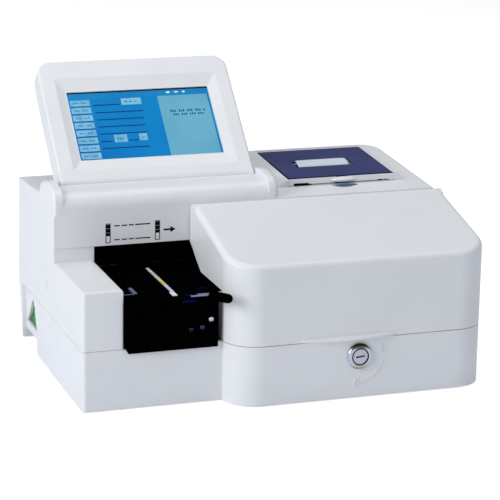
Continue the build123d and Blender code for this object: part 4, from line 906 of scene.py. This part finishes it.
@dataclass
class LockMarks:
    """Raised open and closed signs beside the lock, with the arrow between them.

    Places are (right, up) from the lock's axis.
    """

    fin: Finishes
    proud: float = 0.8
    sunk: float = 0.2
    soft: float = 0.2
    radius: float = 25.6
    arc_wide: float = 1.2
    arc: Span = (-76.0, 70.0)
    arrow_at: Span = (4.6, -25.6)
    arrow_turn: float = 171.0
    arrow_r: Span = (2.6, 2.2)
    open_at: Span = (25.0, 5.0)
    closed_at: Span = (-2.0, -27.4)
    open_lift: float = 1.8
    half: float = 2.4
    post_half: float = 0.5
    post: Span = (-3.0, 1.4)
    rails: Span = (-3.0, 0.6)
    stroke: float = 0.8
    bow_r: float = 1.7
    bow_up: float = 1.6
    foot: Span = (1.2, 1.8)

    def _bar(self, sketch: Sketch, x: Span, y: Span, soft: float) -> None:
        """Add one raised bar."""
        sketch.box((x[0], y[0], -self.sunk), (x[1], y[1], self.proud), None, soft)

    def _padlock(self, sketch: Sketch, at: Span, lift: float) -> None:
        """Add a small raised padlock.

        Args:
            sketch: Signs under construction.
            at: Its middle.
            lift: How far its bow is lifted when it stands for open.
        """
        x, y = at
        for side in (x - self.half, x + self.half):
            wide = (side - self.post_half, side + self.post_half)
            self._bar(sketch, wide, (y + self.post[0], y + self.post[1]), self.soft)
        for low in self.rails:
            self._bar(sketch, (x - self.half, x + self.half), (y + low, y + low + self.stroke), self.soft)
        height = self.proud + self.sunk
        sketch.arc_bar((x, y + self.bow_up + lift, -self.sunk), self.bow_r, self.stroke, height, 0, 180)
        middle = x - self.bow_r
        wide = (middle - self.stroke / 2, middle + self.stroke / 2)
        self._bar(sketch, wide, (y + self.foot[0], y + self.foot[1] + lift), 0.0)

    def build(self) -> None:
        """Build the raised signs."""
        height = self.proud + self.sunk
        sketch = Sketch(Place.upright(LOCK_X, FRONT_Y, LOCK_Z))
        sketch.arc_bar((0, 0, -self.sunk), self.radius, self.arc_wide, height, *self.arc)
        place = Matrix.Translation((*self.arrow_at, self.proud / 2))
        turn = Matrix.Rotation(math.radians(self.arrow_turn), 4, "Z")
        sketch.arrow_head(place @ turn, *self.arrow_r, height)
        self._padlock(sketch, self.open_at, self.open_lift)
        self._padlock(sketch, self.closed_at, 0.0)
        sketch.finish("lock_signs", Body.CASE, self.fin.white)


@dataclass
class LockTrim:
    """Dark joint between the lock's bezel and plug, and a dark floor in the key slot that paints its shade.
    """

    fin: Finishes
    inner: float = 7.66
    outer: float = 8.9
    joint_deep: float = 0.5
    joint_high: float = 0.56
    slot_low: Point = (-4.5, -0.75, -2.4)
    slot_high: Point = (4.5, 0.75, -1.0)
    slot_soft: float = 0.2
    slot_turn: float = 6.0

    def build(self) -> None:
        """Build the joint ring and the slot's dark floor of painted shade."""
        low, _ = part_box("lock_body")
        place = Place.upright(LOCK_X, low[1] / MM + MID[1], LOCK_Z)
        ring = Sketch(place)
        radius, width = (self.inner + self.outer) / 2, self.outer - self.inner
        ink_and_gap_shade = self.fin.print
        for start in (0, 180):
            ring.arc_bar((0, 0, -self.joint_deep), radius, width, self.joint_high, start, 180, ink_and_gap_shade)
        ring.finish("lock_joint", Body.CASE)
        plug = Sketch(place @ Matrix.Rotation(math.radians(self.slot_turn), 4, "Z"))
        plug.box(self.slot_low, self.slot_high, self.fin.deep, self.slot_soft)
        plug.finish("key_slot_painted_shade", Body.LOCK)


@dataclass
class StageClips:
    """Small fittings of the stage: a strip stop coloured with a painted glint, painted reflections along
    the sill and a black cheek of painted shade by the cover.

    A fitting is its lowest and highest corner, with heights from the face it lies on.
    The cheek's top is (y, z) from the rear to the front.
    """

    fin: Finishes
    guide_z: float = 109.6
    glint_soft: float = 0.05
    bar_soft: float = 0.2
    stop_glint: tuple[Point, Point] = ((45.2, 17.1, -0.2), (56.5, 18.9, 0.12))
    stop_bar: tuple[Point, Point] = ((56.4, 19.2, -0.3), (60.0, 41.0, 1.6))
    bright_sill_reflections: tuple[tuple[Point, Point], ...] = (
        ((108.0, -0.8, -0.3), (129.0, 4.2, 0.12)), ((116.0, 4.8, -0.3), (129.5, 8.4, 0.1)),
    )
    dark_sill_reflections: tuple[tuple[Point, Point], ...] = (
        ((103.0, 4.8, -0.3), (115.4, 8.0, 0.1)), ((98.6, -3.46, -4.6), (112.6, -3.0, -2.1)),
        ((122.0, 26.0, -0.3), (131.0, 28.0, 0.1)),
    )
    cheek_x: Span = (135.0, 139.45)
    cheek_deep: float = 2.0
    cheek_top: tuple[Span, ...] = (
        (108.4, 134.0), (96.0, 127.1), (81.3, 116.6), (69.2, 111.0), (30.0, 110.6),
    )

    @staticmethod
    def _lay(sketch: Sketch, ends: tuple[Point, Point], top: float, material: Material,
             soft: float) -> None:
        """Add a fitting whose heights count from top."""
        low, high = ((x, y, top + z) for x, y, z in ends)
        sketch.box(low, high, material, soft)

    def _stop(self) -> None:
        """Build the angle at the left of the stage, coloured with a painted glint."""
        glint = self.fin.glint
        sketch = Sketch(Place.case())
        self._lay(sketch, self.stop_glint, self.guide_z, glint, self.glint_soft)
        self._lay(sketch, self.stop_bar, STAGE_Z, glint, self.bar_soft)
        sketch.finish("strip_stop", Body.CASE)

    def _sill_reflections(self) -> None:
        """Build the thin patches of painted reflection, bright and dark, at the stage's front edge."""
        fin = self.fin
        sketch = Sketch(Place.case())
        for sill_reflections, material in ((self.bright_sill_reflections, fin.glint), (self.dark_sill_reflections, fin.deep)):
            for sill_reflection in sill_reflections:
                self._lay(sketch, sill_reflection, STAGE_Z, material, self.glint_soft)
        sketch.finish("sill_painted_reflections", Body.CASE)

    def _cheek(self) -> None:
        """Build the black cheek of painted shade that falls from the face to the stage by the cover."""
        sketch = Sketch(Place.case())
        floor = STAGE_Z - self.cheek_deep
        rear, front = self.cheek_top[0][0], self.cheek_top[-1][0]
        outline = ((rear, floor), *self.cheek_top, (front, floor))
        verts = [sketch.mesh.verts.new((self.cheek_x[0], y, z)) for y, z in outline]
        face = sketch.mesh.faces.new(verts)
        grown = bmesh.ops.extrude_face_region(sketch.mesh, geom=[face])["geom"]
        moved = [v for v in grown if isinstance(v, bmesh.types.BMVert)]
        bmesh.ops.translate(sketch.mesh, verts=moved, vec=(self.cheek_x[1] - self.cheek_x[0], 0, 0))
        sketch.finish("stage_cheek_painted_shade", Body.CASE, self.fin.black)

    def build(self) -> None:
        """Build the fittings."""
        self._stop()
        self._sill_reflections()
        self._cheek()


@dataclass
class LidFront:
    """Finger dish and dark edges of the printer lid, and a slate blue patch of painted shade for the finger
    scoop before it.

    Places are (x, v, w) on the deck. A patch is its span along x, its span of height
    on the lid's front and how far it stands proud. A rim is its length and depth from
    the panel's front left corner.
    """

    fin: Finishes
    dish: tuple[Point, Point] = ((317.5, 33.6, 4.4), (14.0, 4.6, 2.7))
    scoop_shade: tuple[Point, Point] = ((318.5, 26.8, 0.1), (13.0, 3.0, 0.8))
    front_v: float = 33.12
    deep: float = 0.5
    soft: float = 0.1
    # The openings, the groove and the right gap shades paint the shade in the gap under the lid's front
    # edge.
    openings: tuple[tuple[Span, Span, float], ...] = (
        ((262.5, 279.0), (0.3, 3.0), 0.0), ((278.0, 282.5), (0.5, 1.9), 0.0),
    )
    groove: tuple[Span, Span, float] = ((282.0, 369.5), (0.8, 1.5), 0.0)
    right_gap_shades: tuple[tuple[Span, Span, float], ...] = (
        ((356.0, 361.5), (0.8, 2.1), 0.05), ((363.5, 366.5), (0.8, 2.0), 0.05),
    )
    panel_x: Span = (257.6, 374.4)
    edge_v: float = 35.77
    edge_w: Span = (6.4, 7.46)
    left_rim: Span = (1.3, 64.0)
    front_rim_deep: float = 2.6

    def _patch(self, sketch: Sketch, patch: tuple[Span, Span, float], material: Material) -> None:
        """Add one dark patch on the lid's front."""
        (x0, x1), (w0, w1), proud = patch
        sketch.box((x0, self.front_v - proud, w0), (x1, self.front_v + self.deep, w1), material, self.soft)

    def _edges(self) -> None:
        """Build the dark openings, the groove and the dark spots at the right, all painted shade in the
        gap, and the panel's dark rims.
        """
        ink_and_gap_shade = self.fin.print
        sketch = Sketch(Place.deck())
        for patch in self.openings:
            self._patch(sketch, patch, ink_and_gap_shade)
        self._patch(sketch, self.groove, self.fin.deep)
        for patch in self.right_gap_shades:
            self._patch(sketch, patch, ink_and_gap_shade)
        left, right = self.panel_x
        low, high = self.edge_w
        for end, back in ((right, self.front_rim_deep), (left + self.left_rim[0], self.left_rim[1])):
            sketch.box((left, self.edge_v, low), (end, self.edge_v + back, high), ink_and_gap_shade, self.soft)
        sketch.finish("lid_dark_edges", Body.LID)

    def build(self) -> None:
        """Build the dish, the dark edges and the painted shade of the scoop."""
        dish = Sketch(Place.deck())
        dish.dome(*self.dish, self.fin.white)
        dish.finish("finger_dish", Body.LID, smooth=True)
        self._edges()
        scoop_shade = Sketch(Place.deck())
        scoop_shade.dome(*self.scoop_shade, self.fin.shade)
        scoop_shade.finish("finger_scoop_painted_shade", Body.CASE, smooth=True)


@dataclass
class SideSlotShades:
    """Dark backs of the two small slots in the left wall, painted shade inside them."""

    fin: Finishes
    slots: tuple[Span, ...] = ((84.6, 88.8), (90.2, 94.4))
    x: Span = (0.8, 2.4)
    y: Span = (140.25, 141.75)
    gap: float = 0.05
    soft: float = 0.1

    def build(self) -> None:
        """Build a dark back of painted shade for each slot."""
        sketch = Sketch(Place.case())
        for bottom, top in self.slots:
            low = (self.x[0], self.y[0], bottom + self.gap)
            high = (self.x[1], self.y[1], top - self.gap)
            sketch.box(low, high, self.fin.print, self.soft)
        sketch.finish("side_slot_painted_shades", Body.CASE)


@dataclass
class PaperTongue:
    """Printed paper from the roll up through the window of the lid."""

    fin: Finishes
    x: Span = (284.0, 341.0)
    across: int = 8
    thick: float = 0.12
    path: tuple[Span, ...] = (
        (88.2, -26.0), (86.6, -19.0), (79.0, -15.4), (76.2, -9.5), (75.9, -4.0), (75.6, 2.5),
        (76.6, 5.9), (80.4, 8.1), (85.5, 9.0), (91.8, 9.5),
    )

    def build(self) -> None:
        """Build the paper as one smooth curved sheet."""
        sketch = Sketch(Place.deck())
        steps = len(self.path) - 1
        bmesh.ops.create_grid(sketch.mesh, x_segments=self.across, y_segments=steps, size=0.5)
        for vert in sketch.mesh.verts:
            v, w = self.path[round((vert.co.y + 0.5) * steps)]
            vert.co = (self.x[0] + (self.x[1] - self.x[0]) * (vert.co.x + 0.5), v, w)
        paper = self.fin.paper
        piece = sketch.finish("paper_tongue", Body.CASE, paper, ("paper_web",), True)
        curve = piece.modifiers.new("Smooth Curl", "SUBSURF")
        curve.levels = curve.render_levels = 2
        wall = piece.modifiers.new("Paper Thickness", "SOLIDIFY")
        wall.thickness = self.thick * MM
        wall.offset = 0.0


@dataclass
class Studio:
    """Floor, lamps, world and camera."""

    camera_at: Point = (-476.46, -1857.77, 685.46)
    yaw: float = 19.097
    pitch: float = -15.227
    roll: float = 0.936
    focal_px: float = 2117.17
    frame_px: float = 500.0
    sensor_mm: float = 36.0
    far_m: float = 30.0
    aim_m: Point = (0.0, 0.0, 0.1)
    soft_tone: Colour = (0.93, 0.96, 1.0)
    soft_level: float = 0.37
    floor_low: Colour = (0.84, 0.86, 0.93)
    floor_high: Colour = (0.87, 0.89, 0.95)
    glow_tone: Colour = (1.0, 0.97, 0.9)
    glow_level: float = 0.56
    floor_m: float = 12.0

    def _camera(self) -> None:
        """Place the camera where the photograph was taken."""
        yaw, pitch, roll = (math.radians(a) for a in (self.yaw, self.pitch, self.roll))
        ahead = Vector((math.sin(yaw) * math.cos(pitch), math.cos(yaw) * math.cos(pitch), math.sin(pitch)))
        right = Vector((math.cos(yaw), -math.sin(yaw), 0))
        up = right.cross(ahead)
        side = right * math.cos(roll) + up * math.sin(roll)
        top = up * math.cos(roll) - right * math.sin(roll)
        turn = Matrix((side, top, -ahead)).transposed().to_4x4()
        data = bpy.data.cameras.new("camera")
        data.sensor_width = self.sensor_mm
        data.lens = self.focal_px / self.frame_px * self.sensor_mm
        data.clip_end = self.far_m
        camera = bpy.data.objects.new("camera", data)
        bpy.context.scene.collection.objects.link(camera)
        camera.matrix_world = Matrix.Translation(Place.case() @ Vector(self.camera_at)) @ turn
        bpy.context.scene.camera = camera

    def _lamp(self, name: str, at: Point, power: float, size: float) -> None:
        """Add a square lamp that faces the object.

        Args:
            name: Name of the lamp.
            at: Its place, in metres.
            power: Its power, in watts.
            size: Length of its side, in metres.
        """
        data = bpy.data.lights.new(name, "AREA")
        data.energy = power
        data.size = size
        lamp = bpy.data.objects.new(name, data)
        bpy.context.scene.collection.objects.link(lamp)
        aim = Vector(self.aim_m) - Vector(at)
        lamp.matrix_world = Matrix.Translation(at) @ aim.to_track_quat("-Z", "Y").to_matrix().to_4x4()

    def _world(self) -> None:
        """Set a soft world that looks white to the camera and through glass, but not in mirrors."""
        world = bpy.data.worlds.new("studio")
        world.use_nodes = True
        bpy.context.scene.world = world
        tree = world.node_tree
        tree.nodes.clear()
        out = tree.nodes.new("ShaderNodeOutputWorld")
        path = tree.nodes.new("ShaderNodeLightPath")
        soft, bright = (tree.nodes.new("ShaderNodeBackground") for _ in range(2))
        for shade, tone, level in ((soft, self.soft_tone, self.soft_level), (bright, (1, 1, 1), 1.0)):
            shade.inputs[0].default_value = (*tone, 1)
            shade.inputs[1].default_value = level
        seen = tree.nodes.new("ShaderNodeMath")
        seen.operation = "MAXIMUM"
        mix = tree.nodes.new("ShaderNodeMixShader")
        for source, target in (
            (path.outputs["Is Camera Ray"], seen.inputs[0]),
            (path.outputs["Is Transmission Ray"], seen.inputs[1]),
            (seen.outputs[0], mix.inputs[0]), (soft.outputs[0], mix.inputs[1]),
            (bright.outputs[0], mix.inputs[2]), (mix.outputs[0], out.inputs[0]),
        ):
            tree.links.new(source, target)

    def _floor(self) -> None:
        """Add a wide pale floor that keeps the object's shadow."""
        shader = Shader("Pale Studio Floor")
        shade = shader.spread(shader.noise(400.0, 2.0), self.floor_low, self.floor_high)
        shader.colour(shade)
        shader.fix("Roughness", 0.9)
        shader.fix("Specular IOR Level", 0.1)
        path = shader.add("LightPath")
        glow = shader.add("Emission", Color=(*self.glow_tone, 1))
        lift = shader.add("Math", operation="MULTIPLY")
        shader.link(path.outputs["Is Camera Ray"], lift.inputs[0])
        lift.inputs[1].default_value = self.glow_level
        shader.link(lift.outputs[0], glow.inputs["Strength"])
        both = shader.add("AddShader")
        shader.link(shader.main.outputs[0], both.inputs[0])
        shader.link(glow.outputs[0], both.inputs[1])
        shader.link(both.outputs[0], shader.out.inputs[0])
        mesh = bmesh.new()
        bmesh.ops.create_grid(mesh, x_segments=1, y_segments=1, size=self.floor_m)
        data = bpy.data.meshes.new("floor")
        mesh.to_mesh(data)
        mesh.free()
        data.materials.append(shader.material)
        floor = bpy.data.objects.new("floor", data)
        bpy.context.scene.collection.objects.link(floor)

    def build(self) -> None:
        """Build the studio."""
        self._camera()
        self._world()
        self._floor()
        self._lamp("left_lamp", (-2.6, -0.9, 1.3), 46.0, 1.6)
        self._lamp("top_lamp", (0.2, 0.2, 2.6), 23.0, 2.0)
        self._lamp("front_lamp", (0.9, -2.8, 1.6), 3.0, 1.6)
        bpy.context.scene.view_settings.view_transform = "Standard"


class Analyzer:
    """The whole analyzer: dresses the CAD nodes and adds the fine pieces."""

    def __init__(self, frame: dict) -> None:
        """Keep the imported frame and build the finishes.
        """
        self.nodes: dict[str, bpy.types.Object] = frame["nodes"]
        self.fin = Finishes()

    def _dress(self, material: Material, *names: str) -> None:
        """Give CAD nodes a material.

        Args:
            material: The material.
            names: Names of the nodes.
        """
        for name in names:
            data = self.nodes[name].data
            data.materials.clear()
            data.materials.append(material)
            LOG.info("%s: %s", name, material.name)

    def dress_nodes(self) -> None:
        """Give every CAD node its finish."""
        fin = self.fin
        self._dress(fin.white, "lower_case", "upper_case", "side_block_cover", "flip_cover",
                    "display_bezel", "display_back", "printer_lid")
        self._dress(fin.black, "strip_stage", "front_plate", "stage_rib", "stage_back_wall", "optical_head")
        self._dress(fin.dark, "motor_pulley", "idler_pulley", "printer_box", "power_inlet",
                    "switch_body", "switch_rocker")
        self._dress(fin.grey, "bin_well", "cover_hinge_brackets", "roll_spindle")
        self._dress(fin.bin, "waste_bin")
        self._dress(fin.navy, "printer_panel")
        self._dress(fin.steel, "motor_shaft", "idler_axle",
                    "cover_hinge_pins", "cover_catch", "lock_nut", "lock_cam", "tilt_pins", "lid_pins",
                    "board_screws")
        self._dress(fin.black, "guide_rods", "pusher_arm", "carriage")
        self._dress(fin.screw, "front_plate_screws")
        self._dress(fin.sheet, "transport_frame", "stepper_motor", "lcd_panel", "print_head",
                    "power_supply", "rear_panel", "serial_port", "usb_port")
        self._dress(fin.chrome, "lock_body")
        self._dress(fin.plug, "lock_plug")
        self._dress(fin.rubber, "rubber_feet", "drive_belt", "platen_roller")
        self._dress(fin.clear, "head_window")
        self._dress(fin.board, "sensor_board", "display_board", "main_board", "side_board")
        self._dress(fin.paper, "paper_roll", "paper_web")
        self._dress(fin.strip, "test_strip")
        self._dress(fin.tile, "reference_tile")
        self._dress(fin.pads, "strip_pads")
        self._dress(fin.dark_glass_and_bezel_shadow, "touch_panel")

    def build(self) -> None:
        """Dress the nodes and add the pieces."""
        self.dress_nodes()
        for part in (Screen, FaceMarks, LockMarks, LockTrim, StageClips, LidFront, SideSlotShades,
                     PaperTongue):
            part(self.fin).build()


def main(frame: dict) -> None:
    """Build the analyzer and its studio.
    """
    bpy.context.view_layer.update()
    Analyzer(frame).build()
    Studio().build()


if __name__ == "__main__":
    logging.basicConfig(level=logging.INFO, format="%(message)s")
    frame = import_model()
    main(frame)
